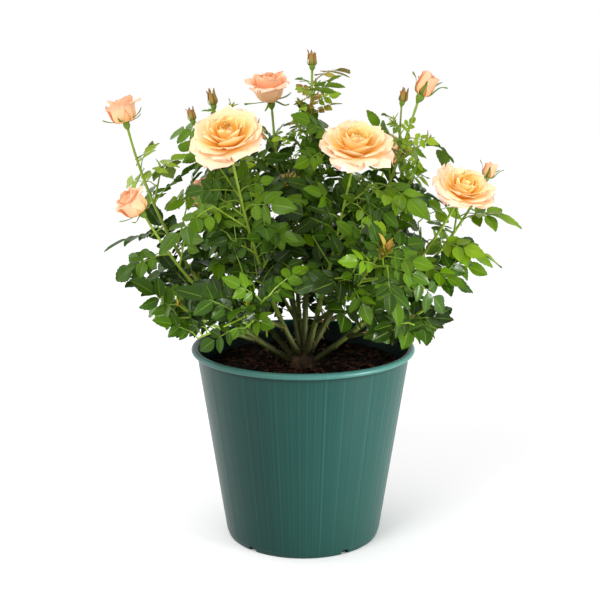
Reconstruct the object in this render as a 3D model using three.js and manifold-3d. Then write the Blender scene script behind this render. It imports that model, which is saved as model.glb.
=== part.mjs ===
// A potted rose bush: a tapered nursery pot full of compost, a knobbly bud union at its middle,
// thorny canes that fan out of it, and on each cane one mass of leafy growth with its flowers.
// Millimetres, +Z up, origin at the middle of the pot's flat underside. The front faces -Y.

import * as THREE from 'three';
import { mergeVertices } from 'three/addons/utils/BufferGeometryUtils.js';
import Module from 'manifold-3d';

const wasm = await Module();
wasm.setup();

// ---------------------------------------------------------------- driving sizes

const POT = {
  height: 220,
  rimRadius: 125, // outside of the rolled rim
  rimBead: 7, // height and depth of the rolled rim
  wallTopRadius: 119, // outside of the wall, just under the rim
  baseRadius: 87, // outside of the foot
  wall: 2,
  floor: 3,
  footHeight: 5,
  footStep: 0.8, // the foot stands this far inside the wall above it
  notchCount: 5, // drainage notches in the foot
  notchWidth: 9,
  notchFirstAngle: -58,
  sides: 36,
};
const SOIL = { level: 195, hummock: 2.5, flatRadius: 24, sides: 20, gap: 0.3 };
const UNION = { radius: 15, height: 17, sides: 12 };
const GAP = 0.3; // between neighbouring solids

const CANE = {
  footRadius: 3.6,
  branchRadius: 2.6, // at the foot of a cane that forks off another
  tipRadius: 1.3,
  leafyFrom: 0.27, // share of its length where a cane's leafy mass begins
  lowFoot: { out: 11, up: 5 }, // where the flatter canes leave the bud union
  highFoot: { out: 5, up: 12 }, // where the steeper canes leave it
  steep: 1.45, // height over reach that makes a cane a steep one
};
const NODE_GAP = 18; // along a stem, from one leaf to the next
const BARE_NECK = { flower: 34, bud: 10, tip: 2 }; // leafless stalk under a flower, a bud and a plain tip
const SHOOT = { first: 3, every: 3, length: 60, radius: 1.4, leaves: 2, lift: 0.75 };
const LEAF_TURN = 144; // degrees from one leaf to the next round the stem
const LEAF_START = 300; // turn round the first cane of its first leaf, in degrees
const LEAF_STEP = 340; // how much further round each next cane has its first leaf
const LEAF = {
  stalk: 1.1, // half the width of petiole and rachis
  thickness: 1.1,
  root: [0.4, 0.6], // the petiole's foot: how far it is sunk past the middle of its stem, half its width
  endLeaflet: { at: 45, length: 40, width: 28 }, // at: distance from the stem along the leaf
  pairs: [
    { at: 34, length: 31, width: 23, spread: 68 }, // degrees from the midrib of the leaf
    { at: 18, length: 24, width: 18, spread: 72 },
  ],
  widest: 0.42, // share of a leaflet's length where it is widest
  knee: 15, // where the leaf arches over
  hang: 0.15, // how strongly its end bends down
  droop: 0.14, // how far side leaflets sink for each millimetre they reach out
  toLight: 0.7, // how far leaves turn their faces to the front, where their light comes from
};
// The crown keeps within a spread that is round as seen from above, with the feet of its canes bare.
const CROWN = {
  radius: 241,
  centre: 6, // the spread's middle, towards +X
  depth: 1.25, // how much less it spreads to front and back
  bare: 104, // lowest leaves at the middle of the front, above the soil
  bareSlope: 0.9, // how much lower they are for each millimetre to the left or right
  inside: 20, // lowest leaves inside the rim, above the soil
  skirt: 38, // lowest leaves over the rim, above the soil
  skirtFrom: 100, // how far out from the middle the skirt starts
  lift: 0.75, // how much higher the lowest leaves are for each millimetre past liftFrom
  liftFrom: 150,
};
// The canes whose stems show: no leaf grows across their front.
const SHOWN = ['front_left', 'front_right', 'left_high', 'left_low', 'right_high', 'right_low'];
const CLEAR = { from: 8, to: 38, step: 6 }; // how far before a stem that space reaches
const OPEN_VIEW = [0, 20, 40, 60]; // how far before a flower that faces the front leaves keep away
const CELL = 4.5; // the crown's space is shared out in cubes of this size
const TRIES = 10; // places tried for each leaf

// Flower kinds, each turned round its stalk from a hip up: [radius, height, scallop of the petals].
// Radius and depth of the room a flower needs are named with it.
const FLOWER = {
  open: {
    petals: 6,
    room: { radius: 38, depth: 60 },
    profile: [
      [0, -2, 0], [4.8, 4, 0], [9, 8, 0], [34, 14, 0.03], [42, 20, 0.05],
      [35, 29, 0.04], [21, 35, 0], [11, 38, -0.06], [0, 37, 0],
    ],
  },
  cup: {
    petals: 6,
    room: { radius: 26, depth: 55 },
    profile: [
      [0, -2, 0], [4.8, 4, 0], [12, 9, 0], [20, 19, 0], [27, 28, 0.06],
      [22, 34, 0.04], [11, 38, -0.06], [0, 37, 0],
    ],
  },
  half: {
    petals: 5,
    room: { radius: 21, depth: 55 },
    profile: [
      [0, -2, 0], [4.8, 4, 0], [14, 11, 0], [17, 23, 0.04], [26, 33, 0.1],
      [22, 38, 0.12], [13, 35, -0.08], [5, 40, 0], [0, 39, 0],
    ],
  },
  opening: {
    petals: 4,
    room: { radius: 10, depth: 40 },
    profile: [
      [0, -2, 0], [4, 3, 0], [9, 8, 0], [11, 15, 0], [11, 26, 0.05], [9, 34, 0.1], [0, 35.5, 0],
    ],
  },
  bud: {
    petals: 3,
    room: { radius: 7, depth: 30 },
    profile: [[0, -2, 0], [3.6, 2, 0], [6, 7, 0], [6, 12, 0], [4.4, 17, 0], [0, 21, 0]],
  },
};
const SEPAL = { count: 5, length: 21, width: 4, thickness: 1, height: 7 };

// Each cane: the azimuth, reach and height above the soil of its flower or tip, and how far it bows.
const CANES = [
  { name: 'front_left', azimuth: -138, reach: 105, height: 267, bow: 0.13 },
  { name: 'front_right', azimuth: -45, reach: 78, height: 257, bow: 0.03 },
  { name: 'right_low', azimuth: -7, reach: 175, height: 207, bow: 0.12 },
  { name: 'right_high', azimuth: 4, reach: 133, height: 310, bow: 0.08 },
  { name: 'back_right', azimuth: 46, reach: 150, height: 232, bow: 0.12 },
  { name: 'top', azimuth: 76, reach: 41, height: 340, bow: 0.05 },
  { name: 'back_mid', azimuth: 96, reach: 128, height: 200, bow: 0.12 },
  { name: 'back_high', azimuth: 122, reach: 71, height: 306, bow: 0.08 },
  { name: 'back_left', azimuth: 142, reach: 150, height: 184, bow: 0.14 },
  { name: 'left_high', azimuth: 174, reach: 199, height: 284, bow: 0.24 },
  { name: 'left_low', azimuth: -168, reach: 186, height: 190, bow: 0.14 },
  { name: 'left_buds', azimuth: 158, reach: 109, height: 297, bow: 0.1 },
  { name: 'right_behind', azimuth: 13, reach: 216, height: 214, bow: 0.14 },
  { name: 'front_shoot', azimuth: -50, reach: 122, height: 146, bow: 0.1 },
  { name: 'front_low', azimuth: -120, reach: 116, height: 92, bow: 0.1 },
  { name: 'low_left', azimuth: -154, reach: 146, height: 84, bow: 0.1 },
  { name: 'low_right', azimuth: -24, reach: 142, height: 78, bow: 0.1 },
  { name: 'back_low_left', azimuth: 160, reach: 128, height: 92, bow: 0.1 },
  { name: 'back_low_right', azimuth: 26, reach: 136, height: 96, bow: 0.1 },
  { name: 'back_low', azimuth: 109, reach: 126, height: 88, bow: 0.1 },
];
const FORK = 0.2; // share of its parent's length where a cane forks off
const FORKS_OFF = {
  left_buds: 'left_high',
  right_behind: 'right_low',
  front_shoot: 'front_right',
  front_low: 'front_left',
  low_left: 'left_low',
  low_right: 'right_low',
  back_low_left: 'back_left',
  back_low_right: 'back_right',
  back_low: 'back_mid',
};
// The flower at each cane's tip, its size, and the azimuth and elevation it faces.
const BLOOMS = {
  front_left: { kind: 'open', size: 1, faces: [-100, 56] },
  front_right: { kind: 'open', size: 1, faces: [-80, 62] },
  right_low: { kind: 'open', size: 0.88, faces: [-62, 56] },
  right_high: { kind: 'opening', size: 1, faces: [0, 62] },
  back_right: { kind: 'half', size: 0.9, faces: [48, 55] },
  top: { kind: 'bud', size: 1, faces: [90, 82] },
  back_mid: { kind: 'open', size: 0.85, faces: [92, 48] },
  back_high: { kind: 'cup', size: 0.95, faces: [-110, 74] },
  back_left: { kind: 'half', size: 0.9, faces: [140, 50] },
  left_high: { kind: 'half', size: 0.85, faces: [165, 74] },
  left_low: { kind: 'half', size: 0.85, faces: [-160, 48] },
  left_buds: { kind: 'bud', size: 1, faces: [170, 80] },
  right_behind: { kind: 'opening', size: 0.7, faces: [20, 66] },
};
// Buds on a stalk of their own: the share of their cane's length where it leaves, the azimuth, reach and
// height above the soil of its tip, and the bud's size.
const SIDE_BUDS = {
  right_high: { share: 0.8, azimuth: 8, reach: 108, height: 289, size: 0.9 },
  left_buds: { share: 0.76, azimuth: 166, reach: 125, height: 268, size: 0.9 },
};

// ---------------------------------------------------------------- small vector and number helpers

const DEG = Math.PI / 180;
const UP = [0, 0, 1];
const FRONT = [0, -1, 0];
const add = (a, b, k = 1) => [a[0] + b[0] * k, a[1] + b[1] * k, a[2] + b[2] * k];
const dot = (a, b) => a[0] * b[0] + a[1] * b[1] + a[2] * b[2];
const cross = (a, b) => [
  a[1] * b[2] - a[2] * b[1],
  a[2] * b[0] - a[0] * b[2],
  a[0] * b[1] - a[1] * b[0],
];
const unit = (a) => {
  const length = Math.sqrt(dot(a, a));
  return [a[0] / length, a[1] / length, a[2] / length];
};
const mix = (a, b, t) => add(add([0, 0, 0], a, 1 - t), b, t);
const level = (azimuth) => [Math.cos(azimuth * DEG), Math.sin(azimuth * DEG), 0];
const facing = (azimuth, elevation) =>
  add([0, 0, Math.sin(elevation * DEG)], level(azimuth), Math.cos(elevation * DEG));

// A dice gives the same run of numbers between 0 and 1 for the same seed.
function dice(seed) {
  let state = (seed * 7919 + 12345) % 4294967296;
  const roll = () => {
    state = (state * 1664525 + 1013904223) % 4294967296;
    return state / 4294967296;
  };
  for (let i = 0; i < 4; i++) roll();
  return roll;
}

// ---------------------------------------------------------------- how the crown shares its space

// Each mass of leaves owns the cubes round what has grown in it. Nothing of another mass enters them.
const zones = new Map();
const filled = new Set();
const TOUCHING = [[0, 0, 0], [0, 0, 1], [0, 0, -1]];
const keyOf = (p, dx = 0, dy = 0, dz = 0) =>
  (Math.floor(p[0] / CELL) + dx + 200) * 1000000
  + (Math.floor(p[1] / CELL) + dy + 200) * 1000
  + (Math.floor(p[2] / CELL) + dz + 200);

function claim(points, owner) {
  for (const p of points) {
    for (let dx = -1; dx <= 1; dx++) {
      for (let dy = -1; dy <= 1; dy++) {
        for (let dz = -1; dz <= 1; dz++) {
          const key = keyOf(p, dx, dy, dz);
          if (!zones.has(key)) zones.set(key, owner);
        }
      }
    }
  }
}

function isFree(points, owner) {
  return points.every((p) => (zones.get(keyOf(p)) ?? owner) === owner && !filled.has(keyOf(p)));
}

// ---------------------------------------------------------------- the growth rule

// A cane is one bow from its foot to its tip, flatter below and steeper above.
function bow(foot, tip, sag) {
  const run = add(tip, foot, -1);
  const outward = [run[0], run[1], 0];
  let middle = mix(foot, tip, 0.5);
  middle = add(add(middle, outward, sag), UP, -sag * run[2]);
  return (t) => mix(mix(foot, middle, t), mix(middle, tip, t), t);
}

function pathLength(at) {
  let length = 0;
  for (let i = 0; i < 20; i++) {
    const step = add(at((i + 1) / 20), at(i / 20), -1);
    length += Math.sqrt(dot(step, step));
  }
  return length;
}

const along = (at, t) => unit(add(at(Math.min(1, t + 0.02)), at(t - 0.02), -1));

// The points that a straight run fills, one every few millimetres.
function runPoints(a, b, spacing = 5) {
  const run = add(b, a, -1);
  const count = Math.max(1, Math.ceil(Math.sqrt(dot(run, run)) / spacing));
  return Array.from({ length: count + 1 }, (_, i) => mix(a, b, i / count));
}

// One compound leaf from a node on a stem: its petiole rises, and its blade arches over and hangs.
// place(u, v, w) puts a point u along the leaf, v to its side and w above its face.
function compoundLeaf(node, stemDir, turn, roll, size, pairs) {
  const sideways = unit(cross(UP, stemDir));
  const upright = cross(stemDir, sideways);
  const angle = (turn + (roll() - 0.5) * 50) * DEG;
  const radial = add(add([0, 0, 0], sideways, Math.cos(angle)), upright, Math.sin(angle));
  const start = unit(add(add(radial, stemDir, 0.45 + 0.3 * roll()), UP, 0.15));
  const arch = unit(add(start, UP, -0.12 - 0.4 * roll()));
  const knee = add(node, start, LEAF.knee * size);
  const outward = unit([knee[0], knee[1], 1]);
  const tangent = cross(UP, outward);
  const turned = add(add(UP, outward, 0.4 + 0.7 * roll()), tangent, (roll() - 0.5) * 1.6);
  const face = add(turned, FRONT, LEAF.toLight);
  const across = unit(cross(face, arch));
  const up = cross(arch, across);
  const hang = LEAF.hang * (0.5 + roll());
  const droop = LEAF.droop * (0.4 + 1.2 * roll());
  const place = (u, v, w) => {
    const far = Math.max(0, u - LEAF.knee);
    const sink = (hang * far * far) / LEAF.endLeaflet.at + droop * Math.abs(v);
    const spot = u < LEAF.knee ? add(node, start, u * size) : add(knee, arch, far * size);
    return add(add(spot, across, v * size), up, w - sink * size);
  };
  return { place, node, size, pairs: LEAF.pairs.slice(0, pairs) };
}

// The points that a leaf fills, one every few millimetres. A leaflet's half width, as a share of its
// width, goes with each share of its length.
const BLADE_WIDTHS = [[0.1, 0.1], [0.28, 0.4], [0.5, 0.46], [0.7, 0.3], [0.86, 0.15], [1, 0]];
function leafPoints({ place, pairs }) {
  const points = [10, 15, 20, 25, 30, 35, 40, 45].map((u) => place(u, 0, 0));
  const blade = (at, heading, length, width) => {
    for (const [share, half] of BLADE_WIDTHS) {
      for (const s of half ? [-1, -0.5, 0, 0.5, 1] : [0]) {
        const u = heading[0] * length * share - heading[1] * s * half * width;
        const v = heading[1] * length * share + heading[0] * s * half * width;
        points.push(place(at + u, v, 0));
      }
    }
  };
  blade(LEAF.endLeaflet.at, [1, 0], LEAF.endLeaflet.length, LEAF.endLeaflet.width);
  for (const { at, length, width, spread } of pairs) {
    blade(at, [Math.cos(spread * DEG), Math.sin(spread * DEG)], length, width);
    blade(at, [Math.cos(spread * DEG), -Math.sin(spread * DEG)], length, width);
  }
  return points;
}

// Whether a point keeps within the crown's spread, and above the bare feet of the canes.
function inCrown([x, y, z]) {
  const out = Math.sqrt(x * x + y * y);
  const [dx, dy] = [x - CROWN.centre, y * CROWN.depth];
  if (dx * dx + dy * dy > CROWN.radius * CROWN.radius) return false;
  const lifted = CROWN.skirt + CROWN.lift * Math.max(0, out - CROWN.liftFrom);
  const skirt = out > CROWN.skirtFrom ? lifted : CROWN.inside;
  const bare = y < 0 ? CROWN.bare - CROWN.bareSlope * Math.abs(x) : 0;
  return z > SOIL.level + Math.max(skirt, bare);
}

// The rule tries a few places round the node and takes the first where the whole leaf is free.
function tryLeaf({ name: owner, ceiling }, node, stemDir, turn, seed, size, pairs) {
  const roll = dice(seed);
  for (let i = 0; i < TRIES; i++) {
    const leaf = compoundLeaf(node, stemDir, turn + i * 47, roll, size, pairs);
    const points = leafPoints(leaf);
    const inReach = points.every(inCrown) && points.every((p) => p[2] <= ceiling);
    if (!inReach || !isFree(points, owner)) continue;
    claim(points, owner);
    for (const p of points) {
      for (const [dx, dy, dz] of TOUCHING) filled.add(keyOf(p, dx, dy, dz));
    }
    return leaf;
  }
  return null;
}

// A cane's plan: the bare bough below, and the mass on it with its stem, side shoots and flower.
function planCane({ name, azimuth, reach, height, bow: sag }, index, plans) {
  const { kind, size, faces } = BLOOMS[name] ?? {};
  const outward = level(azimuth);
  const from = plans.find((plan) => plan.name === FORKS_OFF[name]);
  const start = height > CANE.steep * reach ? CANE.highFoot : CANE.lowFoot;
  const foot = from ? from.at(FORK) : add([0, 0, SOIL.level + start.up], outward, start.out);
  const flower = FLOWER[kind];
  const look = flower ? facing(...faces) : UP;
  const centre = add([0, 0, SOIL.level + height], outward, reach);
  const tip = flower ? add(centre, look, -0.45 * flower.room.depth * size) : centre;
  const at = bow(foot, tip, sag);
  const length = pathLength(at);
  const footRadius = from ? CANE.branchRadius : CANE.footRadius;
  const ceiling = tip[2] + (kind === 'bud' ? 8 : kind ? -8 : 40); // leaves stay under their flower
  const radiusAt = (t) => footRadius * (1 - t) + CANE.tipRadius * t;
  const turn = LEAF_START + index * LEAF_STEP;
  const [leaves, shoots] = [[], []];
  const sideBud = SIDE_BUDS[name] && planSideBud(at, SIDE_BUDS[name]);
  return {
    name, index, turn, at, length, radiusAt, tip, look, kind, size, flower, sideBud, ceiling, leaves, shoots,
  };
}

function planSideBud(at, { share, azimuth, reach, height, size }) {
  const tip = add([0, 0, SOIL.level + height], level(azimuth), reach);
  const look = unit(add(level(azimuth), UP, 5));
  return { node: at(share), tip, look, size, kind: 'bud', flower: FLOWER.bud };
}

// What a flower fills, and the space before its face that leaves keep out of.
function flowerPoints(plan) {
  const radius = plan.flower.room.radius * plan.size;
  const points = [];
  for (let forward = 0; forward <= plan.flower.room.depth * plan.size; forward += 5) {
    for (let ring = 0; ring <= radius; ring += 5) {
      for (let a = 0; a < 360; a += ring ? 300 / ring : 360) {
        const sideways = unit(cross(plan.look, [1, 0.1, 0]));
        const upright = cross(plan.look, sideways);
        const spot = add(plan.tip, plan.look, forward - 4);
        points.push(add(add(spot, sideways, ring * Math.cos(a * DEG)), upright, ring * Math.sin(a * DEG)));
      }
    }
  }
  return points;
}

function growCrown() {
  const plans = [];
  CANES.forEach((row, index) => plans.push(planCane(row, index, plans)));
  for (const plan of plans) {
    const bough = Array.from({ length: 12 }, (_, i) => plan.at((CANE.leafyFrom * i) / 11));
    claim(bough, 'limb');
  }
  for (const plan of plans) {
    const steps = Math.ceil((plan.length * (1 - CANE.leafyFrom)) / 5);
    const [first, span] = [CANE.leafyFrom + 0.02, 0.98 - CANE.leafyFrom];
    const stem = Array.from({ length: steps + 1 }, (_, i) => plan.at(first + (span * i) / steps));
    claim(stem, plan.name);
    for (let ahead = CLEAR.from; SHOWN.includes(plan.name) && ahead < CLEAR.to; ahead += CLEAR.step) {
      claim(stem.map((p) => add(p, FRONT, ahead)), 'limb');
    }
    if (plan.flower) {
      const room = flowerPoints(plan);
      const before = plan.look[1] < 0 ? OPEN_VIEW : [0];
      for (const ahead of before) claim(room.map((p) => add(p, FRONT, ahead)), 'flower');
    }
    if (plan.sideBud) {
      claim(runPoints(plan.sideBud.node, plan.sideBud.tip), plan.name);
      claim(flowerPoints(plan.sideBud), 'flower');
    }
  }
  const longest = Math.max(...plans.map((plan) => plan.length));
  for (let k = 1; k * NODE_GAP < longest; k++) {
    for (const plan of plans) growNode(plan, k);
  }
  return plans;
}

// What grows at the k-th node of a cane: a leaf, and at some nodes a side shoot with its own leaves.
function growNode(plan, k) {
  const t = CANE.leafyFrom + (k * NODE_GAP) / plan.length;
  const neck = plan.flower ? BARE_NECK[plan.kind] ?? BARE_NECK.flower : BARE_NECK.tip;
  if (t > 1 - neck / plan.length) return;
  const node = plan.at(t);
  const dir = along(plan.at, t);
  const turn = k * LEAF_TURN + plan.turn;
  const seed = plan.index * 1000 + k * 10;
  const bareNode = k % 4 === 2;
  if (!bareNode) {
    const leaf = tryLeaf(plan, node, dir, turn, seed, 1.05 - 0.25 * t, t > 0.62 ? 1 : 2);
    if (leaf) plan.leaves.push(leaf);
  }
  const shootNode = k >= SHOOT.first && (k - SHOOT.first) % SHOOT.every === 0;
  if (shootNode) growShoot(plan, node, dir, turn + 180, seed + 1, t);
}

function growShoot(plan, node, dir, turn, seed, t) {
  const roll = dice(seed);
  const sideways = unit(cross(UP, dir));
  const upright = cross(dir, sideways);
  for (let i = 0; i < 4; i++) {
    const angle = (turn + i * 90 + (roll() - 0.5) * 40) * DEG;
    const radial = add(add([0, 0, 0], sideways, Math.cos(angle)), upright, Math.sin(angle));
    const heading = unit(add(add(radial, dir, SHOOT.lift), UP, 0.35));
    const length = SHOOT.length * (0.7 + 0.5 * roll()) * (1.1 - 0.4 * t);
    const end = add(node, heading, length);
    if (end[2] > plan.ceiling || !isFree(runPoints(add(node, heading, 8), end), plan.name)) continue;
    claim(runPoints(node, end), plan.name);
    plan.shoots.push([node, end]);
    for (let j = 1; j <= SHOOT.leaves; j++) {
      const spot = mix(node, end, j / SHOOT.leaves);
      const leaf = tryLeaf(plan, spot, heading, turn + j * LEAF_TURN, seed + j, 0.95 - 0.1 * t, 1);
      if (leaf) plan.leaves.push(leaf);
    }
    return;
  }
}

// ---------------------------------------------------------------- solids

function solidOf(geometry) {
  const bare = geometry.clone();
  bare.deleteAttribute('normal');
  bare.deleteAttribute('uv');
  const merged = mergeVertices(bare, 1e-4);
  return new wasm.Manifold(new wasm.Mesh({
    numProp: 3,
    vertProperties: new Float32Array(merged.attributes.position.array),
    triVerts: new Uint32Array(merged.index.array),
  }));
}

const fuse = (solids) => solids.reduce((whole, piece) => whole.add(piece));

function geometryOf(solid) {
  const { vertProperties, triVerts, numProp } = solid.getMesh();
  const geometry = new THREE.BufferGeometry();
  const positions = new Float32Array((vertProperties.length / numProp) * 3);
  for (let i = 0; i < positions.length / 3; i++) {
    positions.set(vertProperties.subarray(i * numProp, i * numProp + 3), i * 3);
  }
  geometry.setAttribute('position', new THREE.BufferAttribute(positions, 3));
  geometry.setIndex(new THREE.BufferAttribute(new Uint32Array(triVerts), 1));
  geometry.computeVertexNormals();
  return geometry;
}

// Moves each vertex of a geometry to place(x, y, z).
function reshape(geometry, place) {
  const position = geometry.getAttribute('position');
  for (let i = 0; i < position.count; i++) {
    position.setXYZ(i, ...place(position.getX(i), position.getY(i), position.getZ(i)));
  }
  return geometry;
}

// A round limb along a path, tapering from one radius to another.
function limb(at, from, to, radiusAt, sides, steps) {
  const tube = new THREE.CylinderGeometry(1, 1, 1, sides, steps);
  return solidOf(reshape(tube, (x, y, z) => {
    const t = from + (to - from) * (y + 0.5);
    const dir = along(at, t);
    const sideways = unit(cross(UP, dir));
    const upright = cross(dir, sideways);
    return add(add(at(t), sideways, z * radiusAt(t)), upright, x * radiusAt(t));
  }));
}

// A leaf's outline on one side of its midrib, from the stem to its tip, as [u, v] pairs.
function halfOutline(pairs) {
  const { stalk, root, widest, endLeaflet } = LEAF;
  const inwards = [...pairs].reverse();
  const points = [[-root[0], root[1]], [inwards[0].at - 2, stalk]];
  inwards.forEach(({ at, length, width, spread }, i) => {
    const [cos, sin] = [Math.cos(spread * DEG), Math.sin(spread * DEG)];
    const spot = (share, side) => [at + cos * length * share - sin * side, sin * length * share + cos * side];
    const next = i + 1 < inwards.length ? inwards[i + 1].at : endLeaflet.at;
    points.push(spot(widest, width / 2), spot(1, 0), spot(widest, -width / 2), [(at + next) / 2, stalk]);
  });
  points.push([endLeaflet.at + endLeaflet.length * widest, endLeaflet.width / 2]);
  return points;
}

function leafSolid({ place, pairs }) {
  const half = halfOutline(pairs);
  const tip = [LEAF.endLeaflet.at + LEAF.endLeaflet.length, 0];
  const mirrored = half.map(([u, v]) => [u, -v]).reverse();
  const outline = new THREE.Shape([...half, tip, ...mirrored].map(([u, v]) => new THREE.Vector2(u, v)));
  const plate = new THREE.ExtrudeGeometry(outline, { depth: LEAF.thickness, bevelEnabled: false });
  return solidOf(reshape(plate, (u, v, w) => place(u, v, w - LEAF.thickness / 2)));
}

// A sepal: a thin pointed three-sided blade from start along dir.
function sepalSolid(start, dir, face, size) {
  const side = unit(cross(dir, face));
  const up = cross(side, dir);
  const blade = new THREE.ConeGeometry(1, 1, 3, 1);
  return solidOf(reshape(blade, (x, y, z) => {
    const spot = add(add(start, dir, (y + 0.5) * SEPAL.length * size), side, (x * SEPAL.width * size) / 2);
    return add(spot, up, z * SEPAL.thickness);
  }));
}

// A flower or bud: its hip and scalloped petals turned round its stalk, and its sepals.
function flowerSolids({ tip, look, size, kind, flower }) {
  const sideways = unit(cross(look, [1, 0.1, 0]));
  const upright = cross(look, sideways);
  const { profile, petals } = flower;
  const points = profile.map(([radius, height]) => new THREE.Vector2(radius, height));
  const turned = new THREE.LatheGeometry(points, petals * 2);
  const position = turned.getAttribute('position');
  for (let i = 0; i < position.count; i++) {
    const lobe = 1 + profile[i % profile.length][2] * (Math.floor(i / profile.length) % 2 ? -1 : 1);
    const [x, y, z] = [position.getX(i), position.getY(i), position.getZ(i)];
    const spot = add(add(tip, upright, x * lobe * size), sideways, z * lobe * size);
    position.setXYZ(i, ...add(spot, look, y * size));
  }
  const pieces = [solidOf(turned)];
  const sepals = kind === 'open' ? 0 : SEPAL.count; // an open flower's lie flat under its petals
  for (let i = 0; i < sepals; i++) {
    const angle = ((i + 0.25) / SEPAL.count) * 2 * Math.PI;
    const out = add(add([0, 0, 0], sideways, Math.cos(angle)), upright, Math.sin(angle));
    const dir = unit(add(out, look, kind === 'bud' ? 0.7 : -0.35));
    const start = add(add(tip, look, SEPAL.height * size), out, 1.2 * size);
    pieces.push(sepalSolid(start, dir, add(look, out, 0.6), size));
  }
  return pieces;
}

// The outside and inside radius of the pot's wall at a height.
const wallAt = (z) =>
  POT.baseRadius + ((POT.wallTopRadius - POT.baseRadius) * z) / (POT.height - POT.rimBead);
function innerAt(z) {
  const foot = wallAt(POT.floor) - POT.wall;
  const lip = POT.wallTopRadius - POT.wall;
  return foot + ((lip - foot) * (z - POT.floor)) / (POT.height - POT.floor);
}

function potSolid() {
  const { height, rimRadius, rimBead, wallTopRadius, baseRadius } = POT;
  const { floor, footHeight, footStep, notchWidth, sides } = POT;
  const outline = [
    [0, 0],
    [baseRadius - footStep, 0],
    [wallAt(footHeight) - footStep, footHeight],
    [wallAt(footHeight), footHeight + 0.6],
    [wallTopRadius, height - rimBead],
    [rimRadius - 1, height - rimBead],
    [rimRadius, height - rimBead * 0.4],
    [rimRadius - 3, height],
    [innerAt(height), height],
    [innerAt(floor), floor],
    [0, floor],
  ];
  const shell = lathe(outline, sides);
  const notches = Array.from({ length: POT.notchCount }, (_, i) => {
    const box = new THREE.BoxGeometry(14, notchWidth, footHeight + 1);
    box.translate(baseRadius, 0, footHeight / 2 - 0.5);
    box.rotateZ((POT.notchFirstAngle + (i * 360) / POT.notchCount) * DEG);
    return solidOf(box);
  });
  return shell.subtract(fuse(notches));
}

// A closed solid turned round +Z from a profile of [radius, height] pairs, foot first.
function lathe(profile, sides) {
  const points = profile.map(([radius, z]) => new THREE.Vector2(radius, z));
  const turned = new THREE.LatheGeometry(points, sides);
  turned.rotateX(Math.PI / 2);
  return solidOf(turned);
}

// The compost fills the pot to a little under its rim, heaped in a low ring, and flat round the stump.
function soilSolid() {
  const roomAt = (z) => innerAt(z) * Math.cos(Math.PI / POT.sides) - SOIL.gap;
  const foot = POT.floor + SOIL.gap;
  const edge = SOIL.level - 1;
  return lathe([
    [0, foot],
    [roomAt(foot), foot],
    [roomAt(edge), edge],
    [roomAt(edge) * 0.72, SOIL.level + SOIL.hummock],
    [roomAt(edge) * 0.45, SOIL.level - SOIL.hummock * 0.4],
    [SOIL.flatRadius, SOIL.level],
    [0, SOIL.level],
  ], SOIL.sides);
}

// One whole body, without crumbs beside it or hollows sealed inside it.
function wholeBody(solid) {
  return solid.decompose().reduce((a, b) => (b.volume() > a.volume() ? b : a));
}

// The bud union: a knobbly stump with a flat foot, thicker at the ground.
function unionSolid(extra = 0) {
  const { radius, height, sides } = UNION;
  const foot = SOIL.level + GAP - extra;
  const profile = [
    [0, foot],
    [radius * 1.12 + extra, foot],
    [radius + extra, foot + height * 0.35],
    [radius * 0.86 + extra, foot + height * 0.72 + extra],
    [radius * 0.4 + extra, foot + height + extra * 2],
    [0, foot + height + extra * 2],
  ];
  return lathe(profile, sides);
}

// ---------------------------------------------------------------- the assembly

const materials = {
  pot: new THREE.MeshStandardMaterial({ color: 0x3f6e68, roughness: 0.45, metalness: 0 }),
  soil: new THREE.MeshStandardMaterial({ color: 0x2a1a12, roughness: 1, metalness: 0 }),
  union: new THREE.MeshStandardMaterial({ color: 0x5b4630, roughness: 0.9, metalness: 0 }),
  cane: new THREE.MeshStandardMaterial({ color: 0x5e7a26, roughness: 0.6, metalness: 0 }),
  foliage: new THREE.MeshStandardMaterial({ color: 0x3f6f22, roughness: 0.5, metalness: 0 }),
};
const bush = new THREE.Group();

function place(name, solid, material) {
  const mesh = new THREE.Mesh(geometryOf(solid), materials[material]);
  mesh.name = name;
  bush.add(mesh);
}

place('pot', potSolid(), 'pot');
place('soil', soilSolid(), 'soil');
place('bud_union', unionSolid(), 'union');

const plans = growCrown();
const grown = [unionSolid(GAP)];
for (const plan of plans) {
  const round = (extra) => (t) => plan.radiusAt(t) + extra;
  let bough = limb(plan.at, 0, CANE.leafyFrom, round(0), 5, 3);
  for (const neighbour of grown) bough = bough.subtract(neighbour);
  grown.push(limb(plan.at, -0.004, CANE.leafyFrom, round(GAP), 5, 3));
  place('cane_' + plan.name, wholeBody(bough), 'cane');
}
for (const plan of plans) {
  const pieces = [limb(plan.at, CANE.leafyFrom + GAP / plan.length, 1, plan.radiusAt, 4, 5)];
  for (const [node, end] of plan.shoots) {
    pieces.push(limb((t) => mix(node, end, t), 0, 1, () => SHOOT.radius, 3, 1));
  }
  for (const leaf of plan.leaves) pieces.push(leafSolid(leaf));
  if (plan.flower) pieces.push(...flowerSolids(plan));
  if (plan.sideBud) {
    const { node, tip } = plan.sideBud;
    pieces.push(limb((t) => mix(node, tip, t), 0, 1, () => SHOOT.radius, 3, 1));
    pieces.push(...flowerSolids(plan.sideBud));
  }
  place('foliage_' + plan.name, wholeBody(fuse(pieces)), 'foliage');
}

export default bush;
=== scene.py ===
"""A potted rose bush, finished: thorny canes, toothed compound leaves, apricot roses, a green nursery pot.

The crown grows by the same seeded rule as the part's solids, and is carried on to finer leaves.
Growth is worked out in millimetres; every mesh is made in metres.
"""

import functools
import math

import bpy
import bmesh
import numpy as np
from mathutils import Matrix, Vector


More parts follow.
